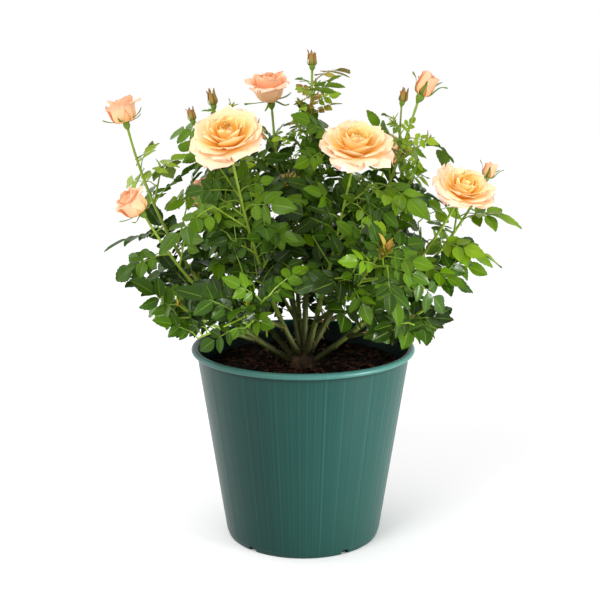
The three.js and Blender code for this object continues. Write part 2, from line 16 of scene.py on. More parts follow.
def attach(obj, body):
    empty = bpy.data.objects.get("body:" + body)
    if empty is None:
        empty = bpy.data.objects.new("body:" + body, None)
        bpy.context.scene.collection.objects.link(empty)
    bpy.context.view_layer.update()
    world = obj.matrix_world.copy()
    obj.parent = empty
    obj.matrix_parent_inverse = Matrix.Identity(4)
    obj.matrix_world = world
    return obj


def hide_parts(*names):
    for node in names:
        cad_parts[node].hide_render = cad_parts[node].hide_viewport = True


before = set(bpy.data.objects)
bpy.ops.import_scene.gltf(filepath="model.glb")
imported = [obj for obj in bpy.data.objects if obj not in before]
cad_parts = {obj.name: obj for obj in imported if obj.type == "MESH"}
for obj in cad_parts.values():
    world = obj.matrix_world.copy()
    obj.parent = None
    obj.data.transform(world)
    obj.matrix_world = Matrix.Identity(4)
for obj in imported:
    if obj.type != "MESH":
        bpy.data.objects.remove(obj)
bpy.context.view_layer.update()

# ------------------------------------------------------------------ driving sizes, in millimetres

POT = {
    "height": 220, "rim": 125, "bead": 7, "wall_top": 119, "base": 87, "wall": 2, "floor": 3,
    "foot": 5, "foot_step": 0.8, "notches": 5, "notch_width": 9, "notch_first": -58, "lines": 256,
}
SOIL_LEVEL = 195
# how many loose crumbs lie on the potting mix, before the stump clears its place
CRUMBS = 1500
UNION = {"radius": 15, "height": 17}
CANE = {
    "foot_radius": 3.6, "branch_radius": 2.6, "tip_radius": 1.3, "leafy_from": 0.27,
    "low_foot": (11, 5), "high_foot": (5, 12), "steep": 1.45,
}
NODE_GAP = 18
# how much of a cane stays leafless under its tip, in general and under a bud or a plain shoot tip
BARE_NECK = 34
NECKS = {"bud": 10, None: 2}
# side shoots: the first node with one, how many nodes apart they are, their leaves, and how steeply they rise
SHOOT = {"first": 3, "every": 3, "length": 60, "radius": 1.2, "leaves": 2, "lift": 0.75}
# each leaf stands this many degrees round the stem from the one below it
LEAF_TURN = 144
# degrees at which the leaves of the first cane start, and from one cane's start to the next one's
LEAF_START = 300
LEAF_STEP = 340
# where a leaf's stalk bends, how it hangs and leans to the light, and its leaflets, of which the one at the
# end and each pair have where they join, their length and width, and a pair its spread in degrees
LEAF = {
    "knee": 15, "hang": 0.15, "droop": 0.14, "to_light": 0.7, "end": (45, 40, 28),
    "pairs": ((34, 31, 23, 68), (18, 24, 18, 72)),
}
# finer leaves: the gap between their nodes, how much of one may lie in used space or in a neighbour's, the
# distances out and up from which they thin out, how they lean, and the furthest that one may reach in front
FINE = {
    "gap": 5, "crowding": 0.65, "straying": 0.12, "open_from": 112, "thin_above": 222, "to_light": 1.2,
    "back_from": 0.12, "front": -145,
}
FINE_LEAF = {"end": (53, 33, 21.5), "pairs": ((42, 26.5, 17, 58), (27, 21.5, 14, 66))}
# the crown's spread about an axis a little off the pot's, and how high above the soil its leaves start:
# near the middle, out from the skirt's radius, and in front of the bare feet of the canes
CROWN = {
    "radius": 241, "centre": 6, "depth": 1.25, "bare": 104, "bare_slope": 0.9, "inside": 20, "skirt": 38,
    "skirt_from": 100, "lift": 0.75, "lift_from": 150,
}
# canes whose stems show, and the range of distances in front of them that leaves leave free
SHOWN = ("front_left", "front_right", "left_high", "left_low", "right_high", "right_low")
CLEAR = (8, 38, 6)
# how far in front of a flower no leaf grows, in steps
OPEN_VIEW = (0, 20, 40, 60)
# the height above the soil from which side shoots end in a tuft of young leaves
TUFTS_FROM = 215
# the crown's space is shared out in cells of this size
CELL = 4.5
# the turns that a leaf tries before it is left out
TRIES = 10
# the radius and depth of the space that each kind of flower takes
ROOM = {"open": (38, 60), "cup": (26, 55), "half": (21, 55), "opening": (10, 40), "bud": (7, 30)}

# name, parent, share of the parent's length, azimuth, reach, height, bow, flower, size, facing
CANES = [
    ("front_left", None, 0, -138, 105, 267, 0.13, "open", 1, (-100, 56)),
    ("front_right", None, 0, -45, 78, 257, 0.03, "open", 1, (-80, 62)),
    ("right_low", None, 0, -7, 175, 207, 0.12, "open", 0.88, (-62, 56)),
    ("right_high", None, 0, 4, 133, 310, 0.08, "opening", 1, (0, 62)),
    ("back_right", None, 0, 46, 150, 232, 0.12, "half", 0.9, (48, 55)),
    ("top", None, 0, 76, 41, 340, 0.05, "bud", 1, (90, 82)),
    ("back_mid", None, 0, 96, 128, 200, 0.12, "open", 0.85, (92, 48)),
    ("back_high", None, 0, 122, 71, 306, 0.08, "cup", 0.95, (-110, 74)),
    ("back_left", None, 0, 142, 150, 184, 0.14, "half", 0.9, (140, 50)),
    ("left_high", None, 0, 174, 199, 284, 0.24, "half", 0.85, (165, 74)),
    ("left_low", None, 0, -168, 186, 190, 0.14, "half", 0.85, (-160, 48)),
    ("left_buds", "left_high", 0.2, 158, 109, 297, 0.1, "bud", 1, (170, 80)),
    ("right_behind", "right_low", 0.2, 13, 216, 214, 0.14, "opening", 0.7, (20, 66)),
    ("front_shoot", "front_right", 0.2, -50, 122, 146, 0.1, None, 1, None),
    ("front_low", "front_left", 0.2, -120, 116, 92, 0.1, None, 1, None),
    ("low_left", "left_low", 0.2, -154, 146, 84, 0.1, None, 1, None),
    ("low_right", "right_low", 0.2, -24, 142, 78, 0.1, None, 1, None),
    ("back_low_left", "back_left", 0.2, 160, 128, 92, 0.1, None, 1, None),
    ("back_low_right", "back_right", 0.2, 26, 136, 96, 0.1, None, 1, None),
    ("back_low", "back_mid", 0.2, 109, 126, 88, 0.1, None, 1, None),
]

# buds on a stalk off a cane: share of the cane's length, azimuth, reach and height of the tip, and size
SIDE_BUDS = {
    "right_high": [(0.8, 8, 108, 289, 0.9)],
    "left_buds": [(0.76, 166, 125, 268, 0.9)],
}

# ------------------------------------------------------------------ small vector and number helpers

DEG = math.pi / 180
UP = (0.0, 0.0, 1.0)
FRONT = (0.0, -1.0, 0.0)


def add(a, b, k=1):
    return (a[0] + b[0] * k, a[1] + b[1] * k, a[2] + b[2] * k)


def cross(a, b):
    return (a[1] * b[2] - a[2] * b[1], a[2] * b[0] - a[0] * b[2], a[0] * b[1] - a[1] * b[0])


def size_of(a):
    return math.sqrt(a[0] * a[0] + a[1] * a[1] + a[2] * a[2])


def unit(a):
    length = size_of(a)
    return (a[0] / length, a[1] / length, a[2] / length)


def mix(a, b, t):
    return add(add((0, 0, 0), a, 1 - t), b, t)


def level(azimuth):
    return (math.cos(azimuth * DEG), math.sin(azimuth * DEG), 0.0)


def facing(azimuth, elevation):
    return add((0, 0, math.sin(elevation * DEG)), level(azimuth), math.cos(elevation * DEG))


def turned_about(direction, angle):
    """A direction square to the given one, turned about it by an angle in radians."""
    sideways = unit(cross(UP, direction))
    return add(add((0, 0, 0), sideways, math.cos(angle)), cross(direction, sideways), math.sin(angle))


def across_look(look):
    """Two directions square to the one that a flower looks in."""
    sideways = unit(cross(look, (1, 0.1, 0)))
    return sideways, cross(look, sideways)


def dice(seed):
    """The same run of numbers between 0 and 1 for the same seed."""
    state = (seed * 7919 + 12345) % 4294967296

    def roll():
        nonlocal state
        state = (state * 1664525 + 1013904223) % 4294967296
        return state / 4294967296

    for _ in range(4):
        roll()
    return roll


# ------------------------------------------------------------------ how the crown shares its space

zones = {}
filled = set()


def key_of(p):
    """The number of the cell that a point lies in."""
    x, y, z = (math.floor(c / CELL) + 200 for c in p)
    return x * 1000000 + y * 1000 + z


AROUND = [dx * 1000000 + dy * 1000 + dz for dx in (-1, 0, 1) for dy in (-1, 0, 1) for dz in (-1, 0, 1)]


def claim(points, owner):
    """Gives an owner the cells at and around some points that no one owns yet."""
    for key in dict.fromkeys(map(key_of, points)):
        for step in AROUND:
            zones.setdefault(key + step, owner)


def blocked_share(points, owner):
    """How much of a leaf or shoot would lie where another owns the cells or a leaf fills them."""
    keys = [key_of(p) for p in points]
    return sum(zones.get(key, owner) != owner or key in filled for key in keys) / len(keys)


def strayed_share(points, owner):
    """How much of a finer leaf would grow into what belongs to a neighbour."""
    return sum(zones.get(key_of(p), owner) != owner for p in points) / len(points)


# ------------------------------------------------------------------ the growth rule


def bow(foot, tip, sag):
    """A bowed path from a foot to a tip, as a function of the share of the way along it."""
    run = add(tip, foot, -1)
    middle = add(add(mix(foot, tip, 0.5), (run[0], run[1], 0), sag), UP, -sag * run[2])
    return lambda t: mix(mix(foot, middle, t), mix(middle, tip, t), t)


def path_length(at):
    return sum(size_of(add(at((i + 1) / 20), at(i / 20), -1)) for i in range(20))


def along(at, t):
    return unit(add(at(min(1, t + 0.02)), at(t - 0.02), -1))


def run_points(a, b, spacing=5):
    count = max(1, math.ceil(size_of(add(b, a, -1)) / spacing))
    return [mix(a, b, i / count) for i in range(count + 1)]


class Leaf:
    """One compound leaf. place(u, v, w) is a point u along it, v to its side and w above its face."""

    def __init__(self, node, stem_dir, turn, roll, size, pairs, to_light):
        angle = (turn + (roll() - 0.5) * 50) * DEG
        radial = turned_about(stem_dir, angle)
        self.start = unit(add(add(radial, stem_dir, 0.45 + 0.3 * roll()), UP, 0.15))
        self.arch = unit(add(self.start, UP, -0.12 - 0.4 * roll()))
        self.node, self.size, self.pairs = node, size, pairs
        self.knee = add(node, self.start, LEAF["knee"] * size)
        outward = unit((self.knee[0], self.knee[1], 1))
        face = add(UP, outward, 0.4 + 0.7 * roll())
        face = add(add(face, cross(UP, outward), (roll() - 0.5) * 1.6), FRONT, to_light)
        self.across = unit(cross(face, self.arch))
        self.up = cross(self.arch, self.across)
        self.hang = LEAF["hang"] * (0.5 + roll())
        self.droop = LEAF["droop"] * (0.4 + 1.2 * roll())

    def place(self, u, v, w=0):
        far = max(0, u - LEAF["knee"])
        sink = (self.hang * far * far) / LEAF["end"][0] + self.droop * abs(v)
        if u < LEAF["knee"]:
            spot = add(self.node, self.start, u * self.size)
        else:
            spot = add(self.knee, self.arch, far * self.size)
        return add(add(spot, self.across, v * self.size), self.up, w - sink * self.size)

    def blades(self, shape=LEAF):
        """Each leaflet as where it joins, its direction in the leaf's plane, its length and width."""
        at, length, width = shape["end"]
        yield at, (1.0, 0.0), length, width
        for at, length, width, spread in shape["pairs"][: self.pairs]:
            for side in (1, -1):
                yield at, (math.cos(spread * DEG), side * math.sin(spread * DEG)), length, width

    def points(self):
        found = [self.place(u, 0) for u in (10, 15, 20, 25, 30, 35, 40, 45)]
        for at, (du, dv), length, width in self.blades():
            for share, half in ((0.1, 0.1), (0.28, 0.4), (0.5, 0.46), (0.7, 0.3), (0.86, 0.15), (1, 0)):
                for s in (-1, -0.5, 0, 0.5, 1) if half else (0,):
                    u = du * length * share - dv * s * half * width
                    v = dv * length * share + du * s * half * width
                    found.append(self.place(at + u, v))
        return found


def in_crown(p):
    """Whether a point keeps within the crown's spread, and above the bare feet of the canes."""
    out = math.sqrt(p[0] * p[0] + p[1] * p[1])
    x, y = p[0] - CROWN["centre"], p[1] * CROWN["depth"]
    if x * x + y * y > CROWN["radius"] * CROWN["radius"]:
        return False
    lifted = CROWN["skirt"] + CROWN["lift"] * max(0, out - CROWN["lift_from"])
    skirt = lifted if out > CROWN["skirt_from"] else CROWN["inside"]
    bare = CROWN["bare"] - CROWN["bare_slope"] * abs(p[0]) if p[1] < 0 else 0
    return p[2] > SOIL_LEVEL + max(skirt, bare)


def try_leaf(plan, node, stem_dir, turn, seed, size, pairs, fine=False):
    """Gives a cane a leaf at the first of a few turns round its stem where the leaf has room."""
    roll = dice(seed)
    for i in range(TRIES):
        leaf = Leaf(node, stem_dir, turn + i * 47, roll, size, pairs, (FINE if fine else LEAF)["to_light"])
        points = leaf.points()
        if not all(map(in_crown, points)) or any(p[2] > plan["ceiling"] for p in points):
            continue
        if blocked_share(points, plan["name"]) > (FINE["crowding"] if fine else 0):
            continue
        if fine and strayed_share(points, plan["name"]) > FINE["straying"]:
            continue
        if fine and min(p[1] for p in points) < FINE["front"]:
            continue
        claim(points, plan["name"])
        for p in points:
            key = key_of(p)
            filled.update((key, key + 1, key - 1))
        plan["leaves"].append(leaf)
        return


def plan_side_bud(at, share, azimuth, reach, height, size):
    tip = add((0, 0, SOIL_LEVEL + height), level(azimuth), reach)
    look = unit(add(level(azimuth), UP, 5))
    return {"node": at(share), "tip": tip, "look": look, "kind": "bud", "size": size}


def plan_cane(row, index, plans):
    """All that is known of a cane before anything grows on it, from its row of the table."""
    name, parent, fork, azimuth, reach, height, sag, kind, size, faces = row
    outward = level(azimuth)
    source = next((p for p in plans if p["name"] == parent), None)
    out, up = CANE["high_foot"] if height > CANE["steep"] * reach else CANE["low_foot"]
    foot = source["at"](fork) if source else add((0, 0, SOIL_LEVEL + up), outward, out)
    look = facing(*faces) if kind else UP
    centre = add((0, 0, SOIL_LEVEL + height), outward, reach)
    tip = add(centre, look, -0.45 * ROOM[kind][1] * size) if kind else centre
    at = bow(foot, tip, sag)
    return {
        "name": name, "index": index, "turn": LEAF_START + index * LEAF_STEP, "at": at,
        "length": path_length(at), "tip": tip, "look": look, "kind": kind, "size": size,
        "leaves": [], "shoots": [],
        "foot_radius": CANE["branch_radius"] if source else CANE["foot_radius"],
        "side_buds": [plan_side_bud(at, *side) for side in SIDE_BUDS.get(name, ())],
        "ceiling": tip[2] + (8 if kind == "bud" else -8 if kind else 40),
    }


def flower_points(plan):
    """Points throughout the space that a flower takes."""
    radius, depth = (value * plan["size"] for value in ROOM[plan["kind"]])
    sideways, upright = across_look(plan["look"])
    points, forward = [], 0
    while forward <= depth:
        spot = add(plan["tip"], plan["look"], forward - 4)
        ring = 0
        while ring <= radius:
            a = 0
            while a < 360:
                side = add(spot, sideways, ring * math.cos(a * DEG))
                points.append(add(side, upright, ring * math.sin(a * DEG)))
                a += 300 / ring if ring else 360
            ring += 5
        forward += 5
    return points


def grow_shoot(plan, node, stem_dir, turn, seed, t, leaves, pairs, fine=0):
    """Gives a cane a leafy side shoot at the first of four turns where it has room. fine scales a twig."""
    roll = dice(seed)
    for i in range(4):
        radial = turned_about(stem_dir, (turn + i * 90 + (roll() - 0.5) * 40) * DEG)
        heading = unit(add(add(radial, stem_dir, SHOOT["lift"]), UP, 0.35))
        end = add(node, heading, SHOOT["length"] * (0.7 + 0.5 * roll()) * (1.1 - 0.4 * t) * (fine or 1))
        way = run_points(add(node, heading, 8), end)
        if end[2] > plan["ceiling"] or blocked_share(way, plan["name"]) > (FINE["crowding"] if fine else 0):
            continue
        if fine and strayed_share(way, plan["name"]) > FINE["straying"]:
            continue
        claim(run_points(node, end), plan["name"])
        plan["shoots"].append((node, end))
        for j in range(1, leaves + 1):
            spot = mix(node, end, j / leaves)
            size = 0.8 * fine - 0.1 * t if fine else 0.95 - 0.1 * t
            try_leaf(plan, spot, heading, turn + j * LEAF_TURN, seed + j, size, pairs, fine)
        return


def grow_node(plan, k):
    """A leaf, a side shoot or both at a node of a cane."""
    t = CANE["leafy_from"] + (k * NODE_GAP) / plan["length"]
    if t > 1 - NECKS.get(plan["kind"], BARE_NECK) / plan["length"]:
        return
    node, stem_dir = plan["at"](t), along(plan["at"], t)
    turn = k * LEAF_TURN + plan["turn"]
    seed = plan["index"] * 1000 + k * 10
    if k % 4 != 2:
        try_leaf(plan, node, stem_dir, turn, seed, 1.05 - 0.25 * t, 1 if t > 0.62 else 2)
    if k >= SHOOT["first"] and (k - SHOOT["first"]) % SHOOT["every"] == 0:
        grow_shoot(plan, node, stem_dir, turn + 180, seed + 1, t, SHOOT["leaves"], 1)


def grow_finer(plan, k):
    """Fills in between a cane's nodes with smaller leaves and twigs, fewest at the crown's edge and top."""
    leafy_from = FINE["back_from"] if plan["tip"][1] > 60 else CANE["leafy_from"]
    t = leafy_from + (k * FINE["gap"]) / plan["length"]
    if t > 1 - NECKS.get(plan["kind"], BARE_NECK) / plan["length"]:
        return
    node, stem_dir = plan["at"](t), along(plan["at"], t)
    turn, seed = k * LEAF_TURN + plan["turn"] + 70, plan["index"] * 1000 + k * 10 + 5
    edge = math.hypot(node[0], node[1]) > FINE["open_from"]
    high = node[2] > SOIL_LEVEL + FINE["thin_above"]
    if k % 2:
        if k % 6 == 1 or not edge:
            size = (0.6 if high else 0.88 if edge else 0.64) - 0.2 * t
            try_leaf(plan, node, stem_dir, turn, seed, size, 2, True)
    elif not edge and k % 4 == 0:
        grow_shoot(plan, node, stem_dir, turn, seed + 1, t, 5, 2, 0.5 if high else 0.9)


def grow_crown():
    """Plans all canes, sets aside the space of stems and flowers, and grows the leaves node by node."""
    plans = []
    for index, row in enumerate(CANES):
        plans.append(plan_cane(row, index, plans))
    for plan in plans:
        claim([plan["at"]((CANE["leafy_from"] * i) / 11) for i in range(12)], "limb")
    for plan in plans:
        steps = math.ceil(plan["length"] * (1 - CANE["leafy_from"]) / 5)
        first, span = CANE["leafy_from"] + 0.02, 0.98 - CANE["leafy_from"]
        stem = [plan["at"](first + (span * i) / steps) for i in range(steps + 1)]
        claim(stem, plan["name"])
        if plan["name"] in SHOWN:
            for ahead in range(*CLEAR):
                claim([add(p, FRONT, ahead) for p in stem], "limb")
        if plan["kind"]:
            for ahead in OPEN_VIEW if plan["look"][1] < 0 else (0,):
                claim([add(p, FRONT, ahead) for p in flower_points(plan)], "flower")
        for bud in plan["side_buds"]:
            claim(run_points(bud["node"], bud["tip"]), plan["name"])
            claim(flower_points(bud), "flower")
    longest = max(plan["length"] for plan in plans)
    for grow, gap in ((grow_node, NODE_GAP), (grow_finer, FINE["gap"])):
        for k in range(1, int(longest / gap) + 1):
            for plan in plans:
                grow(plan, k)
    return plans


# ------------------------------------------------------------------ making meshes

MM = 0.001


class Sheaf:
    """Faces gathered into one piece. Every corner keeps a tone, and its place on its own part."""

    def __init__(self):
        self.points, self.tones, self.places, self.quads, self.kinds = [], [], [], [], []
        self.count = 0

    def add(self, points, quads, tone, place, kinds=0):
        points = np.asarray(points, float).reshape(-1, 3)
        quads = np.asarray(quads, int).reshape(-1, 4)
        self.points.append(points)
        self.quads.append(quads + self.count)
        self.tones.append(np.broadcast_to(np.asarray(tone, float), len(points)))
        self.places.append(np.asarray(place, float).reshape(-1, 2))
        self.kinds.append(np.broadcast_to(np.asarray(kinds, int), len(quads)))
        self.count += len(points)

    def piece(self, name, *materials):
        mesh = bpy.data.meshes.new(name)
        points, quads = np.vstack(self.points) * MM, np.vstack(self.quads)
        mesh.vertices.add(len(points))
        mesh.vertices.foreach_set("co", points.ravel())
        mesh.loops.add(quads.size)
        mesh.loops.foreach_set("vertex_index", quads.ravel())
        mesh.polygons.add(len(quads))
        mesh.polygons.foreach_set("loop_start", np.arange(0, quads.size, 4))
        for material in materials:
            mesh.materials.append(material)
        mesh.polygons.foreach_set("material_index", np.concatenate(self.kinds))
        mesh.update(calc_edges=True)
        tone = mesh.attributes.new("tone", "FLOAT", "POINT")
        tone.data.foreach_set("value", np.concatenate(self.tones))
        place = mesh.attributes.new("place", "FLOAT_VECTOR", "POINT")
        flat = np.vstack(self.places)
        place.data.foreach_set("vector", np.column_stack([flat, np.zeros(len(flat))]).ravel())
        mesh.validate()
        mesh.shade_smooth()
        mesh.set_sharp_from_angle(angle=70 * DEG)
        made = bpy.data.objects.new(name, mesh)
        bpy.context.collection.objects.link(made)
        return made


def squares(index):
    """The quads between the points of a grid that holds their numbers."""
    return np.stack([index[:-1, :-1], index[:-1, 1:], index[1:, 1:], index[1:, :-1]], -1).reshape(-1, 4)


@functools.lru_cache(maxsize=None)
def shell_quads(rows, columns):
    """A thin closed shell: a face grid, and a back grid that shares its margin."""
    face = np.arange(rows * columns).reshape(rows, columns)
    back = face.copy()
    inner = (rows - 2) * (columns - 2)
    back[1:-1, 1:-1] = rows * columns + np.arange(inner).reshape(rows - 2, columns - 2)
    front, rear = squares(face), squares(back)[:, [0, 3, 2, 1]]
    return np.vstack([front, rear]), np.repeat([0, 1], len(front))


def shell_points(grid, thickness):
    """The points of a shell: the grid itself, then its inside points sunk by the thickness."""
    normal = np.cross(np.gradient(grid, axis=1), np.gradient(grid, axis=0))
    normal /= np.maximum(np.linalg.norm(normal, axis=2, keepdims=True), 1e-9)
    sunk = grid - normal * thickness
    return np.vstack([grid.reshape(-1, 3), sunk[1:-1, 1:-1].reshape(-1, 3)])


def shell_values(values):
    """Values for the points of a shell, from the values over its grid."""
    width = values.shape[-1]
    return np.vstack([values.reshape(-1, width), values[1:-1, 1:-1].reshape(-1, width)])


def tube(sheaf, path, radii, sides, tones):
    """A round limb along a path of points, with a radius and a tone at each."""
    path, radii = np.asarray(path, float), np.asarray(radii, float)
    run = np.gradient(path, axis=0)
    run /= np.linalg.norm(run, axis=1, keepdims=True)
    # the sides are laid out from a direction that the path doesn't run along
    away = (0.03, 0.02, 1.0) if abs(run[:, 2]).max() < 0.999 else (1.0, 0.02, 0.03)
    sideways = np.cross(np.array(away), run)
    sideways /= np.linalg.norm(sideways, axis=1, keepdims=True)
    upright = np.cross(run, sideways)
    angle = np.arange(sides) * 2 * np.pi / sides
    ring = sideways[:, None] * np.cos(angle)[:, None] + upright[:, None] * np.sin(angle)[:, None]
    points = path[:, None] + ring * (radii[:, None, None] if radii.ndim == 1 else radii[..., None])
    place = np.stack(np.broadcast_arrays(angle / (2 * np.pi), np.linspace(0, 1, len(path))[:, None]), -1)
    tones = np.repeat(np.broadcast_to(np.asarray(tones, float), len(path)), sides)
    rings = np.arange(len(path) * sides).reshape(-1, sides)
    sheaf.add(points, squares(np.column_stack([rings, rings[:, :1]])), tones, place)


# ------------------------------------------------------------------ leaves

LEAFLET_GRID = (13, 5)


@functools.lru_cache(maxsize=None)
def leaflet_shape(curl, wave):
    """A toothed leaflet, one long and one wide, lying along +Y and folded up along its midrib."""
    rows, columns = LEAFLET_GRID
    grid = np.zeros((rows, columns, 3))
    place = np.zeros((rows, columns, 2))
    for i in range(rows):
        a = i / (rows - 1)
        half = max(0.5 * (a ** 0.6) * ((1 - a) ** 0.95) / 0.355, 0.012)
        for j, b in enumerate((-1, -0.52, 0, 0.52, 1)):
            tooth = (1.035 if i % 2 else 0.955) if abs(b) == 1 and 0 < i < rows - 1 else 1
            forward = 0.025 if abs(b) == 1 and i % 2 else 0
            x = b * half * tooth
            rise = 0.3 * abs(x) - 0.35 * x * x + wave * math.sin(a * 8 + b) * abs(b) * 0.015 - curl * a * a
            grid[i, j] = (x, a + forward + 0.05 * abs(b) * (1 - a), rise)
            place[i, j] = (b, a)
    return shell_points(grid, 0.008), shell_values(place)


def hang_leaflets(sheaf, leaf, tone, roll):
    """Puts a leaf's leaflets on its rachis, each a little turned its own way."""
    for at, (du, dv), length, width in leaf.blades(FINE_LEAF):
        base = leaf.place(at - 1, 0, 0.2)
        tip = leaf.place(at + du * length, dv * length)
        flank = leaf.place(at + du * length * 0.5 + dv * 4, dv * length * 0.5 - du * 4)
        run = add(tip, base, -1)
        direction = unit(run)
        up = unit(cross(add(flank, mix(base, tip, 0.5), -1), direction))
        up = unit(add(up, cross(direction, up), (roll() - 0.5) * 0.7))
        side = unit(cross(direction, up))
        up = cross(side, direction)
        points, place = leaflet_shape(round(0.02 + 0.16 * roll(), 2), round(roll() * 2))
        span = size_of(run) * (0.94 + 0.12 * roll())
        wide = width * leaf.size * (0.92 + 0.16 * roll())
        spots = (np.array(base) + np.outer(points[:, 0] * wide, side)
                 + np.outer(points[:, 1] * span, direction) + np.outer(points[:, 2] * span, up))
        quads, kinds = shell_quads(*LEAFLET_GRID)
        sheaf.add(spots, quads, tone + 0.12 * (roll() - 0.5), place, kinds)


def grow_leaf_stalk(sheaf, leaf, tone):
    """The thin stalk that carries a leaf's leaflets."""
    path = [leaf.place(u, 0) for u in (-0.5, 5, 10, 15, 22, 30, 38, 46)]
    radii = (1.0, 0.8, 0.72, 0.7, 0.62, 0.58, 0.5, 0.4)
    tube(sheaf, path, radii, 5, tone)


def grow_tuft(sheaf, spot, heading, seed, count, size=1):
    """Slim young leaflets that have just opened at the tip of a shoot, still folded and reddish."""
    roll = dice(seed)
    for i in range(count):
        radial = turned_about(heading, (i * LEAF_TURN + 30 * roll()) * DEG)
        direction = unit(add(add(radial, heading, 1 + 2 * roll()), UP, 0.8))
        side = unit(cross(direction, heading))
        up = cross(side, direction)
        points, place = leaflet_shape(round(0.1 + 0.2 * roll(), 1), 1.0)
        base = np.array(add(spot, heading, -1.2 * i))
        length = (7 + 7 * roll()) * size
        spots = (base + np.outer(points[:, 0] * length * 0.3, side)
                 + np.outer(points[:, 1] * length, direction) + np.outer(points[:, 2] * length, up))
        quads, kinds = shell_quads(*LEAFLET_GRID)
        sheaf.add(spots, quads, min(1, 0.7 + 0.28 * roll()), place, kinds)


# ------------------------------------------------------------------ flowers

# Each row of four runs from a flower's innermost petals to its outermost: their length and width, their
# lean in degrees at foot, waist and lip, and how flat they lie. break is where along a petal its lip starts,
# spread how far out its foot stands, loose how much petals differ, and tone runs from heart to margin. seat
# is how high the petals sit on the hip, and sepal is the lean of the sepals at foot, waist and lip.
# ruffle is the height of the waves along a lip, and sepal_width widens the sepals.
FLOWERS = {
    "open": {"petals": 44, "length": (20, 28, 34, 42), "width": (15, 27, 34, 44), "foot": (26, 42, 52, 54),
             "waist": (0, 8, 42, 68), "lip": (-50, -16, 42, 102), "flat": (0, 0, 0.2, 0.5), "ruffle": 2.8,
             "spread": 4.8, "loose": 12, "break": 0.5, "tone": (0.0, 1.0), "seat": 8.5,
             "sepal": (95, 112, 85), "sepal_width": 1},
    "cup": {"petals": 23, "length": (29, 33, 36, 38), "width": (15, 27, 36, 42), "foot": (28, 50, 66, 72),
            "waist": (-4, 0, 10, 20), "lip": (-44, -30, 8, 104), "flat": (0, 0, 0, 0.15), "ruffle": 2.2,
            "spread": 6, "loose": 5, "break": 0.62, "tone": (1.0, 1.9), "seat": 8.5,
            "sepal": (85, 100, 80), "sepal_width": 1},
    "half": {"petals": 17, "length": (28, 32, 34, 36), "width": (15, 28, 36, 42), "foot": (30, 58, 78, 86),
             "waist": (-8, -6, -3, 4), "lip": (-44, -34, 6, 104), "flat": (0, 0, 0, 0.1), "ruffle": 1.8,
             "spread": 8, "loose": 4, "break": 0.62, "tone": (1.0, 1.9), "seat": 8.5,
             "sepal": (80, 78, 48), "sepal_width": 1},
    "opening": {"petals": 9, "length": (22, 24, 26, 27), "width": (11, 16, 21, 24), "foot": (26, 46, 62, 72),
                "waist": (-10, -8, -6, -3), "lip": (-40, -36, -26, 2), "flat": (0, 0, 0, 0), "ruffle": 0.8,
                "spread": 5.5, "loose": 2, "break": 0.66, "tone": (1.1, 1.8), "seat": 7.5,
                "sepal": (84, 18, 62), "sepal_width": 1.0},
    "bud": {"petals": 5, "length": (11, 12, 13, 14), "width": (8, 10, 12, 13), "foot": (30, 40, 50, 54),
            "waist": (-8, -9, -10, -11), "lip": (-50, -50, -50, -50), "flat": (0, 0, 0, 0), "ruffle": 0,
            "spread": 2.0, "loose": 2, "break": 0.5, "tone": (-0.3, -0.12), "seat": 5,
            "sepal": (74, -14, 22), "sepal_width": 1.5},
}
PETAL_ROWS, PETAL_COLUMNS = 11, 9


def smooth(x):
    x = np.clip(x, 0, 1)
    return x * x * (3 - 2 * x)


def lobe_grid(start, length, half, leans, flat, ruffle, tuck, bend_from):
    """A petal or sepal as a grid round the flower's axis. It leans by leans at its foot, waist and lip.

    start is how far from the axis it springs, half is its half width at each row, and flat is 0 where it
    wraps round the axis and 1 where it is flat. ruffle is the height, number and start of the waves along
    its lip, tuck is how far one side lies inside its neighbour and the other side outside it, and bend_from
    is where the lip starts.
    """
    rows = len(half)
    a, b = np.linspace(0, 1, rows), np.linspace(-1, 1, PETAL_COLUMNS)
    foot, waist, lip = leans
    lean = foot + (waist - foot) * smooth(a / 0.45)
    lean = (lean + (lip - waist) * smooth((a - bend_from) / (1 - bend_from))) * DEG
    step = length / (rows - 1)
    out = start + np.concatenate([[0], np.cumsum(np.sin(lean[1:]) * step)])
    height = np.concatenate([[0], np.cumsum(np.cos(lean[1:]) * step)])
    across = np.outer(half, b)
    turn = across * ((1 - flat) / np.maximum(np.abs(out), 5))[:, None] + 1e-9
    tangential = across * np.sin(turn) / turn
    inward = across * (1 - np.cos(turn)) / turn
    wave = ruffle[0] * np.outer(a ** 3, np.sin(b * ruffle[1] + ruffle[2])) + tuck * np.outer(a, b)
    slack = ruffle[0] * np.outer(a ** 2, b ** 2)
    radial = out[:, None] - inward + (wave + slack * 0.5) * np.cos(lean)[:, None]
    upward = height[:, None] + (wave - slack) * np.sin(lean)[:, None]
    return np.stack([radial, tangential, upward], -1)


def set_lobe(sheaf, plan, grid, angle, seat, thickness, tone):
    """Puts a petal or sepal in its flower, turned by an angle about the flower's axis."""
    rows, columns = grid.shape[:2]
    axes = np.array([*across_look(plan["look"]), plan["look"]])
    turn = np.array(Matrix.Rotation(-angle, 3, "Z"))
    spots = shell_points(grid, thickness) @ turn + (0, 0, seat)
    a, b = np.linspace(0, 1, rows)[:, None], np.linspace(-1, 1, columns)[None, :]
    tones = shell_values(np.broadcast_to(tone(a, b)[..., None], (rows, columns, 1)))[:, 0]
    place = shell_values(np.stack(np.broadcast_arrays(b, a), -1))
    quads, kinds = shell_quads(rows, columns)
    sheaf.add(np.array(plan["tip"]) + spots * plan["size"] @ axes, quads, tones, place, kinds)


